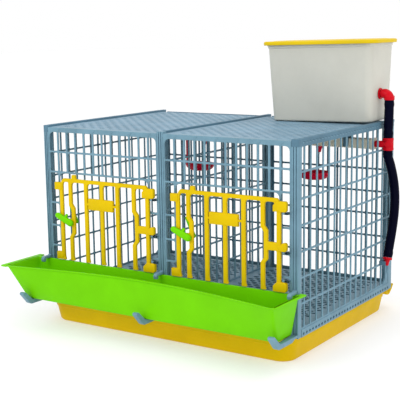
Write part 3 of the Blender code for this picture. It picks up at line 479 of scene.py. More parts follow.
def side_panel(name, sign):
    outer, skin, inner = sign * HALF_W, sign * (HALF_W - 6.0), sign * (BAY_X[1] + BAY_HALF)
    bm = bmesh.new()
    low, high = sorted((outer - sign * 0.3, outer - sign * PLATE_T))
    outline = rounded_rect(FRONT_Y + 6.0, BACK_Y - 6.0, RAIL_Z0 + 0.4, TOP_RAIL_Z0 + 8.0, 1.0, 1)
    holes = lattice_holes(SIDE_Y, FRONT_POST_Y, BACK_POST_Y, SIDE_Z, RAIL_Z1, TOP_RAIL_Z0)
    add_plate(bm, outline, holes, "X", low, high, 0.9)
    lattice = piece(name, bm, "cage", (name,), smooth=15.0)
    bm = bmesh.new()
    front_inner = inner if sign > 0 else inner - 4.3
    x0, x1 = sorted((outer, front_inner))
    ribbed_post(bm, x0, x1, FRONT_Y, FRONT_POST_Y, RAIL_Z0, TOP_RAIL_Z0 + 1.0, 3)
    x0, x1 = sorted((outer, inner))
    add_box(bm, x0, x1, BACK_POST_Y, BACK_Y, RAIL_Z0, TOP_RAIL_Z0 + 1.0)
    add_box(bm, x0, x1, FRONT_Y + 12.0, BACK_Y - 17.0, RAIL_Z0, RAIL_Z0 + 10.0)
    foot = [
        (BACK_Y - 19.5, RAIL_Z1 - 2.0), (BACK_Y - 19.5, RAIL_Z1 + 40.0), (BACK_Y - 25.0, RAIL_Z1 + 22.0),
        (BACK_Y - 36.0, RAIL_Z1 + 6.0), (BACK_Y - 48.0, RAIL_Z1 - 2.0),
    ]
    low, high = sorted((outer, skin))
    add_prism(bm, foot, "X", low + 0.8, high - 0.8)
    post = piece(name + "_posts", bm, "cage", (name,), bevel=0.7)
    bm = bmesh.new()
    x0, x1 = sorted((outer - sign * 1.2, sign * (HALF_W - 10.0)))
    add_box(bm, x0, x1, FRONT_Y, BACK_Y, TOP_RAIL_Z0, RIDGE_Z)
    add_box(bm, *sorted((outer, outer - sign * 1.4)), FRONT_Y, FRONT_Y + 14.5, TOP_RAIL_Z0, RIDGE_Z)
    add_box(bm, *sorted((outer, outer - sign * 1.4)), BACK_Y - 16.5, BACK_Y, TOP_RAIL_Z0, RIDGE_Z)
    add_box(
        bm, *sorted((outer, sign * (HALF_W - 10.0))), BACK_Y - 0.5, BACK_Y + 2.0, RIDGE_Z - 6.0, RIDGE_Z
    )
    if sign > 0:
        add_box(bm, 302.8, 309.0, FRONT_Y, FRONT_Y + 13.7, TOP_RAIL_Z0, RIDGE_Z)
    else:
        add_box(bm, -309.0, -306.6, FRONT_Y, FRONT_Y + 13.7, TOP_RAIL_Z0, RIDGE_Z)
    ridge = piece(name + "_ridge", bm, "cage_dark", (name,), bevel=0.5)
    bm = bmesh.new()
    rail_texture(bm, outer, 1.4, TOP_RAIL_Z0, RIDGE_Z, TOP_RAIL_Z0 + 7.4)
    piece(name + "_ridge_skin", bm, "cage_dark", (name,), smooth=15.0)
    bm = bmesh.new()
    rail_texture(bm, outer + sign * 0.9, 1.3, RAIL_Z0, RAIL_Z1 - 3.5, RAIL_Z0 + 6.0, 13.15, (8.4, 7.0))
    rail = piece(name + "_rail", bm, "cage", (name,), smooth=15.0)
    bm = bmesh.new()
    # painted shade: dark strips behind the lozenge recesses of the top rail and the bottom rail
    add_box(
        bm, *sorted((outer - sign * 1.25, outer - sign * 0.95)), FRONT_Y + 15.0, BACK_Y - 17.0,
        RIDGE_Z - 13.0, RIDGE_Z - 2.0
    )
    add_box(
        bm, *sorted((outer - sign * 0.25, outer + sign * 0.15)), FRONT_Y + 15.0, BACK_Y - 17.0,
        RAIL_Z0 + 1.0, RAIL_Z1 - 5.0
    )
    piece(name + "_recess_painted_shade", bm, "cage_painted_shade", (name,))
    return lattice, post, ridge, rail


def divider():
    bm = bmesh.new()
    outline = rounded_rect(FRONT_Y + 2.0, BACK_Y - 2.0, RAIL_Z0, TOP_RAIL_Z0 + 8.0, 1.0, 1)
    holes = lattice_holes(SIDE_Y, FRONT_POST_Y, BACK_POST_Y, SIDE_Z, RAIL_Z1, TOP_RAIL_Z0, 20.0)
    add_plate(bm, outline, holes, "X", -2.0 - PLATE_T / 2, -2.0 + PLATE_T / 2, 0.9)
    piece("divider_panel_lattice", bm, "cage", ("divider_panel",), smooth=15.0)
    bm = bmesh.new()
    ribbed_post(bm, *MID_X, FRONT_Y, FRONT_POST_Y, RAIL_Z0, RIDGE_Z, 3)
    add_box(bm, *MID_X, BACK_POST_Y, BACK_Y, RAIL_Z0, TOP_RAIL_Z0 + 1.0)
    add_box(bm, *MID_X, FRONT_Y + 12.0, BACK_Y - 17.0, RAIL_Z0, RAIL_Z0 + 10.0)
    back = BACK_Y - 19.5
    arch = [(back, TOP_RAIL_Z0 + 2.0)] + [
        (
            back - 26.0 + 26.0 * math.cos(math.radians(a)),
            TOP_RAIL_Z0 - 26.0 + 26.0 * math.sin(math.radians(a))
        )
        for a in (0, 15, 30, 45, 60, 75, 90)
    ] + [(back - 26.0, TOP_RAIL_Z0 + 2.0)]
    add_prism(bm, arch, "X", -4.2, 0.2)
    foot = [
        (back, RAIL_Z1 - 2.0), (back, RAIL_Z1 + 44.0), (back - 4.0, RAIL_Z1 + 26.0),
        (back - 13.0, RAIL_Z1 + 10.0), (back - 30.0, RAIL_Z1 - 2.0),
    ]
    add_prism(bm, foot, "X", -4.2, 0.2)
    piece("divider_panel_posts", bm, "cage", ("divider_panel",), bevel=0.7)
    bm = bmesh.new()
    add_box(bm, -6.4, 2.4, FRONT_Y + 13.0, BACK_Y, TOP_RAIL_Z0, RIDGE_Z)
    add_box(bm, -6.4, 2.4, BACK_Y - 0.5, BACK_Y + 2.0, RIDGE_Z - 6.0, RIDGE_Z)
    piece("divider_panel_ridge", bm, "cage_dark", ("divider_panel",), bevel=0.7)


def bay_edges(bay):
    if bay == 0:
        return -HALF_W + 12.3, MID_X[0] - GAP
    return MID_X[1] + GAP, HALF_W - 16.3


def front_panel(name, bay):
    cx = BAY_X[bay]
    x_low, x_high = bay_edges(bay)
    left, right = cx - BAY_HALF, cx + BAY_HALF - 3.5
    edge, half = 5 * FRONT_DX, V_BAR / 2
    low_stub = STUB_Z[-1] - H_BAR / 2
    top = FRONT_ROW_Z[1] - H_BAR / 2
    opening = round_polygon([
        (left, RAIL_Z1, 6), (right, RAIL_Z1, 6), (right, low_stub, 4), (cx + edge - half, low_stub, 6),
        (cx + edge - half, top, 12), (cx - edge + half, top, 12), (cx - edge + half, low_stub, 6),
        (left, low_stub, 4),
    ])
    holes = [opening]
    us = [cx + k * FRONT_DX for k in range(-5, 6)]
    holes += lattice_holes(
        us, left, right, (FRONT_ROW_Z[0],), FRONT_ROW_Z[1] + H_BAR / 2, TOP_RAIL_Z0 + 1.0, 12.0
    )
    stubs = sorted(STUB_Z) + [FRONT_ROW_Z[1]]
    for z0, z1 in zip(stubs, stubs[1:]):
        for a, b, r in ((left, cx - edge - half, (2, 4, 4, 2)), (cx + edge + half, right, (4, 2, 2, 4))):
            holes.append(rounded_rect(a, b, z0 + H_BAR / 2, z1 - H_BAR / 2, r, 3))
    bm = bmesh.new()
    outline = rounded_rect(x_low, x_high, RAIL_Z0 + 7.0, ROOF_Z - 1.0, 0.8, 1)
    add_plate(bm, outline, holes, "Y", FRONT_Y, FRONT_Y + PLATE_T, 1.0)
    rail_y = FRONT_Y - 0.7
    x = x_low + 26.0
    while x < x_high - 20.0:
        notch = [(x, 427.5), (x + 3.2, 427.5), (x + 9.0, 434.0), (x + 5.8, 434.0)]
        add_prism(bm, notch, "Y", rail_y, FRONT_Y + 1.0)
        x += 2 * FRONT_DX
    add_box(bm, x_low, x_high, FRONT_Y + 0.2, FRONT_POST_Y, ROOF_Z - 6.0, ROOF_Z)
    panel = piece(name, bm, "cage", (name,), smooth=15.0)
    bm = bmesh.new()
    for z_low, z_high, from_top in HINGE_KNUCKLES:
        hx = cx + HINGE_U
        lug = (z_high + 0.6, z_high + 4.5) if from_top else (z_low - 4.5, z_low - 0.6)
        add_box(bm, hx - 3.2, cx + BAY_HALF - 1.0, HINGE_Y - 3.2, HINGE_Y + 3.2, *lug)
        add_box(bm, hx + 1.0, cx + BAY_HALF - 1.0, HINGE_Y - 3.2, FRONT_Y + 5.0, *lug)
    lugs = piece(name + "_lugs", bm, "cage", (name,), bevel=0.6)
    bm = bmesh.new()
    for z_low, z_high, from_top in HINGE_KNUCKLES:
        pin = (z_low + 4.0, z_high + 2.0) if from_top else (z_low - 2.0, z_high - 4.0)
        add_rod(bm, (cx + HINGE_U, HINGE_Y, pin[0]), (cx + HINGE_U, HINGE_Y, pin[1]), 2.1)
    piece(name + "_pins", bm, "cage", (name,), bevel=0.4)
    return panel, lugs


def back_panel(name, bay):
    x_low, x_high = bay_edges(bay)
    if bay == 0:
        x_low = -HALF_W + 16.3
    cx = BAY_X[bay]
    us = [cx + k * FRONT_DX for k in range(-5, 6)]
    holes = lattice_holes(us, x_low + 6.0, x_high - 6.0, SIDE_Z, RAIL_Z1, TOP_RAIL_Z0 - 3.0, 14.0)
    bm = bmesh.new()
    add_plate(
        bm, rounded_rect(x_low, x_high, RAIL_Z0 + 7.0, ROOF_Z, 0.8, 1), holes, "Y", BACK_Y - PLATE_T,
        BACK_Y, 0.9
    )
    return piece(name, bm, "cage_dark", (name,), smooth=15.0)


ROOF_PITCH = (24.6, 13.0)
FLOOR_PITCH = (22.0, 12.0)


def floor_and_roof(bay, side):
    x_low = (-HALF_W + 6.3) if bay == 0 else 1.3
    x_high = -5.3 if bay == 0 else HALF_W - 6.3
    y0, y1 = FRONT_Y + 14.3, BACK_Y - 19.3
    bm = bmesh.new()
    holes = slots(x_low + 14.0, x_high - 14.0, y0 + 6.0, y1 - 6.0, *FLOOR_PITCH, 15.0, 7.4)
    add_plate(
        bm, rounded_rect(x_low, x_high, y0, y1, 1.0, 1), holes, "Z", RAIL_Z0 + 10.3, RAIL_Z0 + 15.8, 0.8
    )
    name = f"floor_grid_{side}"
    # painted shade on the slot walls, edges and underside of the floor grid
    piece(name + "_mesh", bm, "cage", (name,), smooth=15.0, hole_shade="cage_painted_shade")
    x_low = (-HALF_W + 10.3) if bay == 0 else 3.3
    x_high = -7.3 if bay == 0 else HALF_W - 10.3
    bm = bmesh.new()
    holes = slots(x_low + 6.0, x_high - 6.0, y0 + 6.0, y1 - 4.0, *ROOF_PITCH, 13.0, 6.2)
    add_plate(bm, rounded_rect(x_low, x_high, y0, y1, 1.0, 1), holes, "Z", ROOF_Z - 6.0, ROOF_Z, 0.8)
    name = f"roof_panel_{side}"
    # painted shade on the slot walls, edges and underside of the roof
    piece(name + "_mesh", bm, "roof", (name,), smooth=15.0, hole_shade="cage_painted_shade")


# ---------------- doors

def door(name, bay):
    cx = BAY_X[bay]
    z0, z1, rail = 143.5, 326.5, 318.5

    def shift(points):
        return [(cx + u, z, r) for u, z, r in points]

    def foot(u):
        return [(u + 2.5, z0, 1.5), (u + 1.2, z0 + 4.0, 1.5), (u, z0 + 9.0, 3)]

    outline = shift([
        (-128, z0, 1.5), *foot(-106.0),
        (-106, rail, 9), (-89.5, rail, 2), (-89.5, 268, 4), (-82.5, 259, 4), (-82.5, 237.5, 1.5),
        (-92, 237.5, 3),
        (-92, 220.5, 3), (-82.5, 220.5, 1.5), (-82.5, 207, 4), (-89.5, 198, 4), (-89.5, z0, 1.5),
        *foot(-80.5),
        (-80.5, 196, 4), (-73.5, 205, 4), (-73.5, 262, 4), (-80.5, 271, 4), (-80.5, rail, 9),
        (-45.5, rail, 2),
        (-45.5, z0, 1.5), *foot(-36.5), (-36.5, 272, 1), (-34, 272, 0.5), (-34, 262, 1.5), (-2, 262, 2),
        (-2, z0, 1.5), *foot(7.0), (7, 262, 2), (34, 262, 1.5), (34, 272, 0.5), (40.5, 272, 1),
        (40.5, z0, 1.5), *foot(49.5), (49.5, rail, 9), (84, rail, 2),
        (84, 268, 4), (91, 259, 4), (91, 207, 4), (84, 198, 4), (84, z0, 1.5), *foot(93.0),
        (93, 196, 4), (100, 205, 4), (100, 223.5, 2), (119.5, 223.5, 2), (119.5, z0, 1.5), (128.5, z0, 1.5),
        (128.5, 317, 3), (121, z1, 4), (-68, z1, 2), (-69, 335.5, 2.5), (-79, 335.5, 2.5), (-80, z1, 2),
        (-104, z1, 5), (-111, 317, 3), (-128, 317, 2), (-128, 300, 2), (-115, 300, 2), (-115, 161, 2),
        (-128, 161, 2),
    ])
    holes = [
        round_polygon(
            shift(
                [
                    (-36.5, 276.5, 1), (-34, 276.5, 0.5), (-34, 287, 1.5), (-2, 287, 2), (-2, rail, 2),
                    (-36.5, rail, 9)
                ]
            )
        ),
        round_polygon(
            shift(
                [
                    (7, 287, 2), (34, 287, 1.5), (34, 276.5, 0.5), (40.5, 276.5, 1), (40.5, rail, 2),
                    (7, rail, 9)
                ]
            )
        ),
        round_polygon(
            shift(
                [
                    (100, 240, 2), (119.5, 240, 2), (119.5, 308, 2), (113, rail, 4), (93, rail, 8),
                    (93, 271, 4), (100, 262, 4)
                ]
            )
        ),
    ]
    bm = bmesh.new()
    add_plate(bm, round_polygon(outline), holes, "Y", *DOOR_Y, 1.2)
    leaf = piece(name, bm, "yellow", (name,), name, smooth=15.0)
    bm = bmesh.new()
    for z_low, z_high, _ in HINGE_KNUCKLES:
        big = z_high - z_low > 19.0
        inner = 112.0 if big else 124.0
        block = [
            (cx + inner, z_low), (cx + 139.0, z_low), (cx + 141.5, z_low + 3.0), (cx + 141.5, z_high - 3.0),
            (cx + 139.0, z_high), (cx + inner + 8.0, z_high - 1.0), (cx + inner, z_high - 9.0),
        ]
        add_prism(bm, block, "Y", DOOR_Y[0] - 1.5, DOOR_Y[1] + 1.5)
    piece(name + "_knuckles", bm, "yellow", (name,), name, bevel=1.3, segments=3)
    bm = bmesh.new()
    for z_low, z_high in ((300.5, 316.5), (144.0, 160.5)):
        add_box(bm, cx - 127.6, cx - 109.0, DOOR_Y[0] - 1.2, DOOR_Y[0] + 2.0, z_low, z_high)
    add_prism(
        bm, rounded_rect(cx - 33.5, cx + 33.5, 262.5, 286.5, 2.5), "Y", DOOR_Y[0] - 0.9, DOOR_Y[0] + 2.0
    )
    piece(name + "_plates", bm, "yellow", (name,), name, bevel=0.7)
    return leaf


def latch(name, bay, body):
    lx = BAY_X[bay] + LATCH_U
    y0 = DOOR_Y[0]
    bm = bmesh.new()
    start, end = Vector((lx, LATCH_Z)), Vector((lx - 35.0, LATCH_Z + 14.5))
    heading = math.atan2(end.y - start.y, end.x - start.x)
    lever = []
    for centre, radius, base in ((end, 6.0, heading), (start, 7.5, heading + math.pi)):
        for n in range(11):
            angle = base - math.pi / 2 + math.pi * n / 10
            lever.append((centre.x + radius * math.cos(angle), centre.y + radius * math.sin(angle)))
    add_prism(bm, lever, "Y", y0 - 8.0, y0 - 0.6)
    piece(name, bm, "lime", (name,), body, bevel=2.6, segments=4)
    bm = bmesh.new()
    add_rod(bm, (lx, y0 - 4.0, LATCH_Z), (lx, FRONT_Y + 9.0, LATCH_Z), 3.2, 20)
    add_rod(bm, (lx, y0 - 9.0, LATCH_Z), (lx, y0 - 6.0, LATCH_Z), 5.0, 24)
    add_rod(bm, (lx - 14.0, y0 - 4.0, LATCH_Z + 9.0), (lx - 9.0, y0 - 4.0, LATCH_Z + 18.5), 3.2, 16)
    piece(name + "_shaft", bm, "lime", (name,), body, bevel=0.9, segments=3)
    bm = bmesh.new()
    cam = []
    rest = math.radians(115.0)
    tip = Vector((lx + 39.5 * math.cos(rest), LATCH_Z + 39.5 * math.sin(rest)))
    for centre, radius, base in ((tip, 3.4, rest), (Vector((lx, LATCH_Z)), 4.2, rest + math.pi)):
        for n in range(9):
            angle = base - math.pi / 2 + math.pi * n / 8
            cam.append((centre.x + radius * math.cos(angle), centre.y + radius * math.sin(angle)))
    add_prism(bm, cam, "Y", FRONT_Y + 7.0, FRONT_Y + 11.0)
    piece(name + "_cam", bm, "lime", (name,), body, bevel=0.9, segments=2)


# ---------------- trough

TROUGH_X = (-327.0, 308.5)
TROUGH_Z, TROUGH_H = 60.5, 81.0
TROUGH_FLARE = 15.5
TROUGH_Y = (-281.5, -219.5)
TROUGH_FRONT_FLARE = 46.0
TROUGH_PINCH = 46.0
ARM_X = (-312.5, -2.0, 312.5)


def trough_ring(t, inset, z=None, radius=7.0, steps=36):
    flare = TROUGH_FLARE * t - inset
    front = TROUGH_Y[0] - TROUGH_FRONT_FLARE * t + inset
    back = TROUGH_Y[1] - inset
    x0, x1 = TROUGH_X[0] - flare, TROUGH_X[1] + flare
    height = TROUGH_Z + TROUGH_H * t if z is None else z
    radius = max(1.0, radius - inset)
    corners = (
        (x1 - radius, front + radius, 270), (x1 - radius, back - radius, 0),
        (x0 + radius, back - radius, 90), (x0 + radius, front + radius, 180)
    )
    ring = []
    for n, (cx, cy, start) in enumerate(corners):
        for k in range(5):
            a = math.radians(start + 22.5 * k)
            ring.append((cx + radius * math.cos(a), cy + radius * math.sin(a)))
        if n in (1, 3):
            nxt = corners[(n + 1) % 4]
            for k in range(1, steps):
                s = k / steps
                ring.append((cx + (nxt[0] - cx) * s, (back if n == 1 else front)))
    out = []
    for x, y in ring:
        bow = t * math.sin(math.pi * (x - x0) / (x1 - x0)) * (back - y) / (back - front)
        out.append((x, y + TROUGH_PINCH * bow, height))
    return out


def trough():
    lip = 3.0
    levels = [0.0, 0.015, 0.04, 0.25, 0.5, 0.75, 0.94, 0.955]
    outer = [trough_ring(t, 2.5 if t == 0.0 else (0.7 if t == 0.015 else 0.0)) for t in levels]
    outer += [
        trough_ring(0.965, -lip * 0.6), trough_ring(0.975, -lip), trough_ring(0.99, -lip),
        trough_ring(1.0, -lip * 0.6), trough_ring(1.0, 1.8), trough_ring(0.99, 2.8),
        trough_ring(0.975, 3.0),
    ]
    inner = [trough_ring(t, 3.0) for t in (0.75, 0.5, 0.25, 0.09)]
    inner += [trough_ring(0.06, 4.0), trough_ring(0.042, 8.0)]
    bm = bmesh.new()
    add_loft(bm, outer + inner)
    piece("feed_trough_shell", bm, "lime", ("feed_trough",), smooth=35.0)
    bm = bmesh.new()
    top = TROUGH_Z + TROUGH_H
    x_low, x_high = TROUGH_X[0] - TROUGH_FLARE, TROUGH_X[1] + TROUGH_FLARE
    y_low, y_high = TROUGH_Y[0] - TROUGH_FRONT_FLARE, TROUGH_Y[1]
    left = round_polygon([
        (x_low + 1.5, y_low - 1.0, 2), (x_low - 14.5, y_low - 2.0, 4), (x_low - 14.5, y_high + 18.0, 4),
        (x_low - 1.0, y_high + 18.0, 2), (x_low + 1.5, y_high - 2.0, 2),
    ])
    right = round_polygon([
        (x_high - 1.5, y_low + 6.0, 0), (x_high - 1.5, y_high - 2.0, 0), (HALF_W + 0.8, y_high + 2.0, 0.5),
        (HALF_W + 0.8, y_high + 12.0, 1), (x_high + 9.0, y_high + 12.0, 3), (x_high + 3.0, y_low + 6.0, 2),
    ])
    for outline in (left, right):
        add_prism(bm, outline, "Z", top - 3.0, top)
    piece("feed_trough_ears", bm, "lime", ("feed_trough",), bevel=0.9, segments=2)


def arms_and_hooks():
    y = FRONT_Y
    top = TROUGH_Z + TROUGH_H
    for x, where in zip(ARM_X, ("left", "middle", "right")):
        arm = round_polygon([
            (y - GAP, 55.5, 0.5), (y - GAP, 60.0, 0.5), (y - 66.0, 60.0, 4), (y - 70.5, 62.0, 3),
            (y - 91.0, 81.0, 3),
            (y - 98.0, 81.0, 3), (y - 99.0, 77.0, 2), (y - 78.0, 53.5, 5), (y - 73.0, 51.0, 3),
            (y - 66.0, 51.0, 3),
            (y - 22.0, 51.0, 8), (y - 12.0, 55.5, 8),
        ])
        bm = bmesh.new()
        add_prism(bm, arm, "X", x - 5.5, x + 5.5)
        piece(f"trough_arm_{where}_moulded", bm, "cage", (f"trough_arm_{where}",), bevel=1.6, segments=3)
        hook = round_polygon([
            (y - GAP, top + 8.5, 1), (y - GAP, top + 0.8, 0.3), (y - 19.5, top + 0.8, 0.5),
            (y - 20.0, top - 6.0, 1),
            (y - 25.5, top - 6.0, 2), (y - 27.0, top + 1.0, 3), (y - 23.0, top + 5.5, 4),
            (y - 6.0, top + 6.0, 4),
        ])
        bm = bmesh.new()
        add_prism(bm, hook, "X", x - 4.0, x + 4.0)
        piece(f"trough_hook_{where}_moulded", bm, "cage", (f"trough_hook_{where}",), bevel=1.0, segments=2)


# ---------------- tray

TRAY_HALF = (300.0, 219.5)
TRAY_H, TRAY_FLARE, TRAY_R = 50.6, 9.0, 30.0


def rounded_ring(half_x, half_y, radius, z, steps=8, rear=None):
    radii = (radius, radius, rear or radius, rear or radius)
    return [(x, y, z) for x, y in rounded_rect(-half_x, half_x, -half_y, half_y, radii, steps)]


def tray():
    hx, hy = TRAY_HALF
    top = TRAY_H

    def ring(grow, z, radius=TRAY_R):
        return rounded_ring(hx + grow, hy + grow, radius + grow * 0.5, z, 8, 12.0 + grow * 0.5)

    rings = [
        ring(-5.0, 0.0), ring(-2.0, 0.6), ring(-0.3, 2.6), ring(0.8, 5.0), ring(6.0, 33.0), ring(6.4, 34.0),
        ring(7.6, 34.8), ring(8.9, top - 3.6), ring(11.2, top - 3.0), ring(11.5, top - 1.5),
        ring(11.0, top - 0.3),
        ring(10.0, top), ring(7.0, top), ring(6.0, top - 0.8), ring(3.2, 33.0), ring(-2.2, 5.0),
        ring(-5.0, 2.8), ring(-9.0, 2.5),
    ]
    bm = bmesh.new()
    add_loft(bm, rings)
    piece("dropping_tray_shell", bm, "amber", ("dropping_tray",), "tray", smooth=35.0)
    y = hy + TRAY_FLARE - 1.0
    pull = round_polygon([
        (y, top - 0.5, 0.3), (y, top - 8.0, 4), (y + 6.0, top - 16.0, 6), (y + 18.0, top - 17.0, 6),
        (y + 30.0, top - 9.0, 6),
        (y + 41.0, top + 2.0, 1), (y + 39.5, top + 4.0, 1), (y + 28.0, top - 5.0, 6),
        (y + 17.0, top - 13.0, 5),
        (y + 9.0, top - 12.0, 4), (y + 5.0, top - 5.0, 3), (y + 5.0, top - 0.5, 0.3),
    ], 5)
    bm = bmesh.new()
    add_prism(bm, pull, "X", -hx - 10.5, hx + 10.5)
    piece("dropping_tray_pull", bm, "amber", ("dropping_tray",), "tray", bevel=0.8, segments=2, smooth=50.0)


# ---------------- tank and hoses

def tank_frame():
    lift = TANK_Z + math.sin(-TANK_TILT) * TANK_BASE[0]
    place = Matrix.Translation((TANK_C[0], TANK_C[1], lift))
    return place @ Matrix.Rotation(TANK_YAW, 4, "Z") @ Matrix.Rotation(TANK_TILT, 4, "Y")


TANK_M = tank_frame()
OUTLET = Vector((TANK_BASE[0] + 2.8, -9.0, 60.0))


def tank_ring(t, inset, radius, z):
    half_x = TANK_BASE[0] + (TANK_TOP[0] - TANK_BASE[0]) * t - inset
    half_y = TANK_BASE[1] + (TANK_TOP[1] - TANK_BASE[1]) * t - inset
    return rounded_ring(half_x, half_y, radius, z, 8)


def placed(bm, matrix):
    bmesh.ops.transform(bm, matrix=matrix, verts=bm.verts)
    return bm


def tank():
    rings = [
        tank_ring(0.0, 6.0, 12.0, 0.0), tank_ring(0.0, 2.0, 14.0, 0.7), tank_ring(0.01, 0.4, 15.0, 2.2),
        tank_ring(0.03, 0.0, 15.0, 4.5), tank_ring(0.5, 0.0, 16.0, 84.0),
        tank_ring(0.93, 0.0, 17.0, TANK_H - 12.0),
        tank_ring(0.935, -1.4, 18.0, TANK_H - 10.6), tank_ring(0.96, -1.4, 18.0, TANK_H - 7.0),
        tank_ring(0.97, -3.0, 19.0, TANK_H - 6.0), tank_ring(1.0, -3.0, 19.0, TANK_H),
        tank_ring(1.0, 2.6, 14.0, TANK_H),
        tank_ring(0.5, 2.6, 13.0, 84.0), tank_ring(0.03, 2.6, 12.0, 4.5), tank_ring(0.02, 5.0, 11.0, 2.6),
    ]
    bm = bmesh.new()
    add_loft(bm, rings)
    piece("water_tank_shell", placed(bm, TANK_M), "tank", ("water_tank",), smooth=35.0)
    z = TANK_H + 0.4
    lid = [
        tank_ring(1.0, 3.9, 13.0, z), tank_ring(1.0, -3.8, 19.5, z),
        tank_ring(1.0, -4.6, 20.0, TANK_H - 4.5),
        tank_ring(1.0, -8.5, 22.0, TANK_H - 4.5), tank_ring(1.0, -9.3, 23.0, TANK_H - 3.6),
        tank_ring(1.0, -9.5, 23.0, z + 0.6),
        tank_ring(1.0, -8.8, 22.0, z + 2.2), tank_ring(1.0, -6.5, 20.0, z + 3.4),
        tank_ring(1.0, -3.0, 18.0, z + 3.7),
        tank_ring(1.0, 8.0, 12.0, z + 3.9), tank_ring(1.0, 14.0, 10.0, z + 4.6),
    ]
    bm = bmesh.new()
    add_loft(bm, lid)
    piece("tank_lid_shell", placed(bm, TANK_M), "lid", ("tank_lid",), "lid", smooth=35.0)


def outlet():
    c = OUTLET
    wall = TANK_M @ (c + Vector((5.2, 0, 0)))
    bm = bmesh.new()
    add_rod(bm, c + Vector((0.8, 0, 0)), c + Vector((4.0, 0, 0)), 12.4, 32)
    add_rod(bm, c + Vector((-9.0, 0, 0)), c + Vector((3.0, 0, 0)), 8.0, 24)
    placed(bm, TANK_M)
    add_rod(bm, (HOSE_X, wall.y, 487.4), (HOSE_X, wall.y, wall.z - 4.0), 11.4, 28)
    piece("tank_outlet_elbow_rings", bm, "red", ("tank_outlet_elbow",), bevel=0.9, segments=3)
    bend = 11.0
    corner = Vector((HOSE_X, wall.y, wall.z + 0.3))
    path = [TANK_M @ (c + Vector((6.0, 0, 0)))]
    for n in range(13):
        a = math.radians(90.0 * n / 12)
        path.append((corner.x - bend + bend * math.sin(a), corner.y, corner.z - bend + bend * math.cos(a)))
    path.append((HOSE_X, corner.y, 489.0))
    bm = bmesh.new()
    add_tube(bm, path, [9.8] + [10.4] * 13 + [10.2], 28)
    piece("tank_outlet_elbow_bend", bm, "red", ("tank_outlet_elbow",), smooth=50.0)
    bm = bmesh.new()
    add_rod(bm, c + Vector((-8.4, 0, 0)), c + Vector((-4.2, 0, 0)), 13.4, 6)
    piece("tank_outlet_nut_hex", placed(bm, TANK_M), "red", ("tank_outlet_nut",), bevel=0.6)
    return wall.y


def spline_points(points, count):
    """Smooth curve through the points, sampled evenly in parameter."""
    out = []
    last = len(points) - 1
    for n in range(count):
        t = n / (count - 1) * last
        i = min(int(t), last - 1)
        s = t - i
        p = [Vector(points[max(0, min(last, i + k)) ]) for k in (-1, 0, 1, 2)]
        out.append(0.5 * ((2 * p[1]) + (p[2] - p[0]) * s + (2 * p[0] - 5 * p[1] + 4 * p[2] - p[3]) * s * s
                          + (3 * p[1] - p[0] - 3 * p[2] + p[3]) * s ** 3))
    return out


def hoses(hose_y):
    top, low = 487.0, 405.5
    points = [(HOSE_X, hose_y, top)]
    for n in range(4):
        s = n / 3
        points.append((HOSE_X, hose_y + (HOSE_Y - hose_y) * s, top - 15.0 + (low - top + 30.0) * s))
    points.append((HOSE_X, HOSE_Y, low))
    path = spline_points(points, 60)
    radii = []
    for p in path:
        near = min(top - p.z, p.z - low)
        bulge = 0.9 * math.exp(-((near - 9.0) / 4.0) ** 2) - 0.5 * math.exp(-((near - 17.0) / 3.0) ** 2)
        radii.append(HOSE_R - 0.5 + bulge * 0.8)
    bm = bmesh.new()
    add_tube(bm, path, radii, 28)
    piece("upper_hose_tube", bm, "hose", ("upper_hose",), smooth=60.0)
    z1, z0 = 377.7, 137.5
    points = [(HOSE_X, HOSE_Y, z1)]
    count = 12
    for n in range(count):
        s = n / (count - 1)
        bow = math.sin(math.pi * s ** 0.85) ** 1.15 if s < 1.0 else 0.0
        points.append(
            (HOSE_X + 1.5 * s + 4.0 * bow, HOSE_Y + 5.0 * s + 30.0 * bow, z1 - 12.0 + (z0 - z1 + 12.0) * s)
        )
    path = spline_points(points, 150)
    radii = []
    for p in path:
        near = min(z1 - p.z, p.z - z0)
        bulge = 0.8 * math.exp(-((near - 9.0) / 4.0) ** 2) - 0.5 * math.exp(-((near - 17.0) / 3.0) ** 2)
        radii.append(HOSE_R - 0.5 + bulge * 0.8)
    bm = bmesh.new()
    add_tube(bm, path, radii, 28)
    piece("lower_hose_tube", bm, "hose", ("lower_hose",), smooth=60.0)
    end = Vector(points[-1])
    return end, (end - Vector(points[-2])).normalized()


def tee():
    z0, z1 = 378.0, 405.2
    bm = bmesh.new()
    radii = (
        (z0, 11.4), (z0 + 0.8, 12.2), (z0 + 5.0, 12.3), (z0 + 5.8, 11.7), (z0 + 13.6, 11.9),
        (z1 - 5.8, 11.7), (z1 - 5.0, 12.3), (z1 - 0.8, 12.2), (z1, 11.4)
    )
    add_tube(bm, [(HOSE_X, HOSE_Y, z) for z, _ in radii], [r for _, r in radii], 32)
    piece("pipe_tee_barrel", bm, "red", ("pipe_tee",), smooth=40.0)
    bm = bmesh.new()
    mid = (z0 + z1) / 2
    facing = Vector((0.35, -0.94, 0.0)).normalized()
    centre = Vector((HOSE_X, HOSE_Y, mid))
    add_rod(bm, centre + facing * 6.0, centre + facing * 12.6, 7.6, 28)
    add_rod(bm, centre + facing * 8.0, centre + facing * 13.2, 4.4, 24)
    add_rod(bm, (PIPE_X[1] + 8.0, PIPE_Y, PIPE_Z), (HOSE_X, HOSE_Y - 4.0, PIPE_Z), 7.4, 24)
    piece("pipe_tee_branch", bm, "red", ("pipe_tee",), bevel=0.8, segments=3)


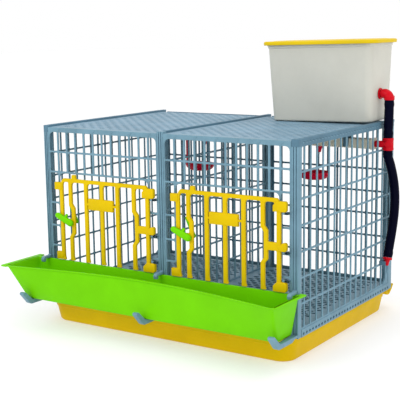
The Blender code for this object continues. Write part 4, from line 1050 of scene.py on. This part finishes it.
def hose_end(end, heading):
    bm = bmesh.new()
    add_rod(bm, end + heading * 0.3, end + heading * 5.5, 10.6, 28)
    add_rod(bm, end + heading * 5.0, end + heading * 19.0, 6.4, 24, 4.2)
    piece("hose_end_plug_body", bm, "red", ("hose_end_plug",), bevel=0.8, segments=3)
    grip = end + heading * 12.0
    y0, y1 = grip.y - 8.2, grip.y + 8.2
    outline = [
        (HALF_W + GAP, y0 - 1.8), (grip.x + 1.0, y0 - 1.8), (grip.x + 1.0, y0), (grip.x - 7.6, y0),
        (grip.x - 7.6, y1), (grip.x + 1.0, y1), (grip.x + 1.0, y1 + 1.8), (HALF_W + GAP, y1 + 1.8),
    ]
    bm = bmesh.new()
    add_prism(bm, outline, "Z", grip.z - 5.0, grip.z + 4.0)
    piece("plug_clip_yoke", bm, "cage_dark", ("plug_clip",), bevel=0.4)


def water_line():
    x0, x1 = PIPE_X
    bm = bmesh.new()
    add_prism(
        bm,
        rounded_rect(
            PIPE_Y - PIPE_HALF, PIPE_Y + PIPE_HALF, PIPE_Z - PIPE_HALF, PIPE_Z + PIPE_HALF, 2.5, 4
        ),
        "X", x0, x1
    )
    piece("nipple_pipe_square", bm, "cream", ("nipple_pipe",), smooth=40.0)
    for name, mat, a, b in (
        ("pipe_end_cap", "red", x0 - 7.0, x0 - GAP), ("pipe_socket", "cream", x1 + GAP, x1 + 6.7)
    ):
        bm = bmesh.new()
        add_prism(
            bm,
            rounded_rect(
                PIPE_Y - SLEEVE_HALF, PIPE_Y + SLEEVE_HALF, PIPE_Z - SLEEVE_HALF, PIPE_Z + SLEEVE_HALF,
                3.0, 4
            ),
            "X", a, b
        )
        piece(name + "_body", bm, mat, (name,), bevel=0.8, segments=2)
    for n, x in enumerate((-225.0, -60.0, 90.0, 240.0), start=1):
        y, z, h = PIPE_Y, PIPE_Z, PIPE_HALF + 0.4
        outline = [
            (y - h - 3.0, z - h + 3.0), (y - h, z - h + 3.0), (y - h, z + h), (y + h, z + h),
            (y + h, z - h + 3.0), (y + h + 3.0, z - h + 3.0), (y + h + 3.0, z + h + 4.0),
            (y + 5.0, z + h + 4.0), (y + 5.0, ROOF_Z - 6.3), (y - 5.0, ROOF_Z - 6.3),
            (y - 5.0, z + h + 4.0), (y - h - 3.0, z + h + 4.0),
        ]
        bm = bmesh.new()
        add_prism(bm, outline, "X", x - 6.0, x + 6.0)
        piece(f"pipe_clip_{n}_strap", bm, "cage_dark", (f"pipe_clip_{n}",), bevel=0.6)


def drinker(side, bay):
    x, base = BAY_X[bay] + NIPPLE_U, PIPE_Z - PIPE_HALF
    bm = bmesh.new()
    add_rod(bm, (x, PIPE_Y, base + 8.0), (x, PIPE_Y, base - 5.0), 5.1, 24)
    add_rod(bm, (x, PIPE_Y, base - 0.4), (x, PIPE_Y, base - 6.0), 8.0, 6)
    add_rod(bm, (x, PIPE_Y, base - 5.0), (x, PIPE_Y, base - 15.0), 6.0, 24, 3.6)
    piece(f"nipple_body_{side}_turned", bm, "cup", (f"nipple_body_{side}",), bevel=0.5)
    bm = bmesh.new()
    add_rod(bm, (x, PIPE_Y, base - 19.0), (x, PIPE_Y, base - 3.0), 1.5, 16)
    piece(f"nipple_pin_{side}_turned", bm, "steel", (f"nipple_pin_{side}",), f"pin_{side}", bevel=0.5)
    cx, z = BAY_X[bay] + CUP_U, CUP_Z
    rows = []
    for half_x, half_y, height in (
        (14.0, 11.0, z), (23.0, 17.0, z + 0.7), (29.5, 21.5, z + 3.0), (33.5, 24.2, z + 6.0),
        (36.4, 26.3, z + 9.5),
        (38.4, 27.7, z + 14.0), (38.7, 28.0, z + 16.5), (39.8, 28.7, z + 17.0), (39.8, 28.7, z + 18.2),
        (39.0, 28.0, z + 18.6),
        (37.6, 26.6, z + 18.4), (35.8, 25.2, z + 13.5), (32.8, 22.8, z + 9.0), (27.8, 19.6, z + 5.4),
        (18.0, 13.5, z + 3.0),
    ):
        rows.append([
            (
                cx + half_x * math.cos(2 * math.pi * n / CUP_STEPS),
                PIPE_Y + half_y * math.sin(2 * math.pi * n / CUP_STEPS), height
            )
            for n in range(CUP_STEPS)
        ])
    bm = bmesh.new()
    add_loft(bm, rows)
    piece(f"drip_cup_{side}_dish", bm, "cup", (f"drip_cup_{side}",), smooth=40.0)
    stem = cx - 36.0
    bm = bmesh.new()
    bottom, top = PIPE_Z - PIPE_HALF - 3.8, PIPE_Z + PIPE_HALF + 3.6
    add_box(bm, stem - 3.0, stem + 3.0, PIPE_Y - 2.5, PIPE_Y + 2.5, z + 9.0, bottom + 3.0)
    add_box(bm, stem - 3.0, stem + 3.0, PIPE_Y - 14.5, PIPE_Y + 14.5, bottom, bottom + 3.0)
    add_box(bm, stem - 3.0, stem + 3.0, PIPE_Y - 14.5, PIPE_Y - 11.8, bottom, top)
    add_box(bm, stem - 3.0, stem + 3.0, PIPE_Y + 11.8, PIPE_Y + 14.5, bottom, top)
    add_box(bm, stem - 3.0, stem + 3.0, PIPE_Y - 14.5, PIPE_Y + 14.5, top - 2.8, top)
    piece(f"drip_cup_{side}_hanger", bm, "cup", (f"drip_cup_{side}",), bevel=0.6)


# ---------------- assembly

for panel_side, panel_sign in (("left", -1), ("right", 1)):
    side_panel(f"side_panel_{panel_side}", panel_sign)
divider()
for bay_number, bay_side in enumerate(("left", "right")):
    front_panel(f"front_panel_{bay_side}", bay_number)
    back_panel(f"back_panel_{bay_side}", bay_number)
    floor_and_roof(bay_number, bay_side)
    door(f"door_{bay_side}", bay_number)
    latch(f"door_latch_{bay_side}", bay_number, f"latch_{bay_side}")
    drinker(bay_side, bay_number)
trough()
arms_and_hooks()
tray()
tank()
plug_end, plug_heading = hoses(outlet())
tee()
hose_end(plug_end, plug_heading)
water_line()

# ---------------- floor and light

def floor_material():
    mat = bpy.data.materials.new("floor_paint")
    mat.use_nodes = True
    nodes, links = mat.node_tree.nodes, mat.node_tree.links
    shader = nodes["Principled BSDF"]
    shader.inputs["Roughness"].default_value = 0.8
    shader.inputs["Specular IOR Level"].default_value = 0.1
    shader.inputs["Emission Color"].default_value = (1.0, 1.0, 1.0, 1.0)
    shader.inputs["Emission Strength"].default_value = 0.36
    coords = nodes.new("ShaderNodeTexCoord")
    tex = nodes.new("ShaderNodeTexNoise")
    tex.inputs["Scale"].default_value = 6.0
    links.new(coords.outputs["Object"], tex.inputs["Vector"])
    ramp = nodes.new("ShaderNodeValToRGB")
    ramp.color_ramp.elements[0].color = (0.62, 0.62, 0.62, 1)
    ramp.color_ramp.elements[1].color = (0.66, 0.66, 0.66, 1)
    links.new(tex.outputs["Fac"], ramp.inputs["Fac"])
    links.new(ramp.outputs["Color"], shader.inputs["Base Color"])
    return mat


def add_floor():
    bm = bmesh.new()
    rows = []
    for y, z in ((-14.0, 0.0), (0.0, 0.0), (22.0, 0.0)):
        rows.append([bm.verts.new((x, y, z)) for x in (-18.0, 18.0)])
    for low, high in zip(rows, rows[1:]):
        bm.faces.new((low[0], low[1], high[1], high[0]))
    mesh = bpy.data.meshes.new("studio_floor")
    bm.to_mesh(mesh)
    bm.free()
    mesh.materials.append(floor_material())
    mesh.polygons.foreach_set("use_smooth", [True] * len(mesh.polygons))
    obj = bpy.data.objects.new("studio_floor", mesh)
    bpy.context.scene.collection.objects.link(obj)


def add_light(name, place, target, size, power):
    data = bpy.data.lights.new(name, "AREA")
    data.shape = "RECTANGLE"
    data.size, data.size_y = size
    data.energy = power
    obj = bpy.data.objects.new(name, data)
    bpy.context.scene.collection.objects.link(obj)
    obj.location = place
    obj.rotation_euler = (Vector(target) - Vector(place)).to_track_quat("-Z", "Y").to_euler()


add_floor()
add_light("key_light", (-0.6, -2.8, 2.2), (0, 0, 0.2), (1.4, 1.0), 26.0)
add_light("fill_light", (2.8, -1.4, 1.6), (0, 0, 0.25), (1.2, 1.2), 12.0)
add_light("top_light", (0.4, 0.2, 2.8), (0, 0, 0.2), (1.6, 1.6), 12.0)
scene_world = bpy.data.worlds.new("studio_world")
scene_world.use_nodes = True
scene_world.node_tree.nodes["Background"].inputs["Color"].default_value = (1.0, 1.0, 1.0, 1.0)
scene_world.node_tree.nodes["Background"].inputs["Strength"].default_value = 1.0
bpy.context.scene.world = scene_world
bpy.context.scene.view_settings.view_transform = "Standard"
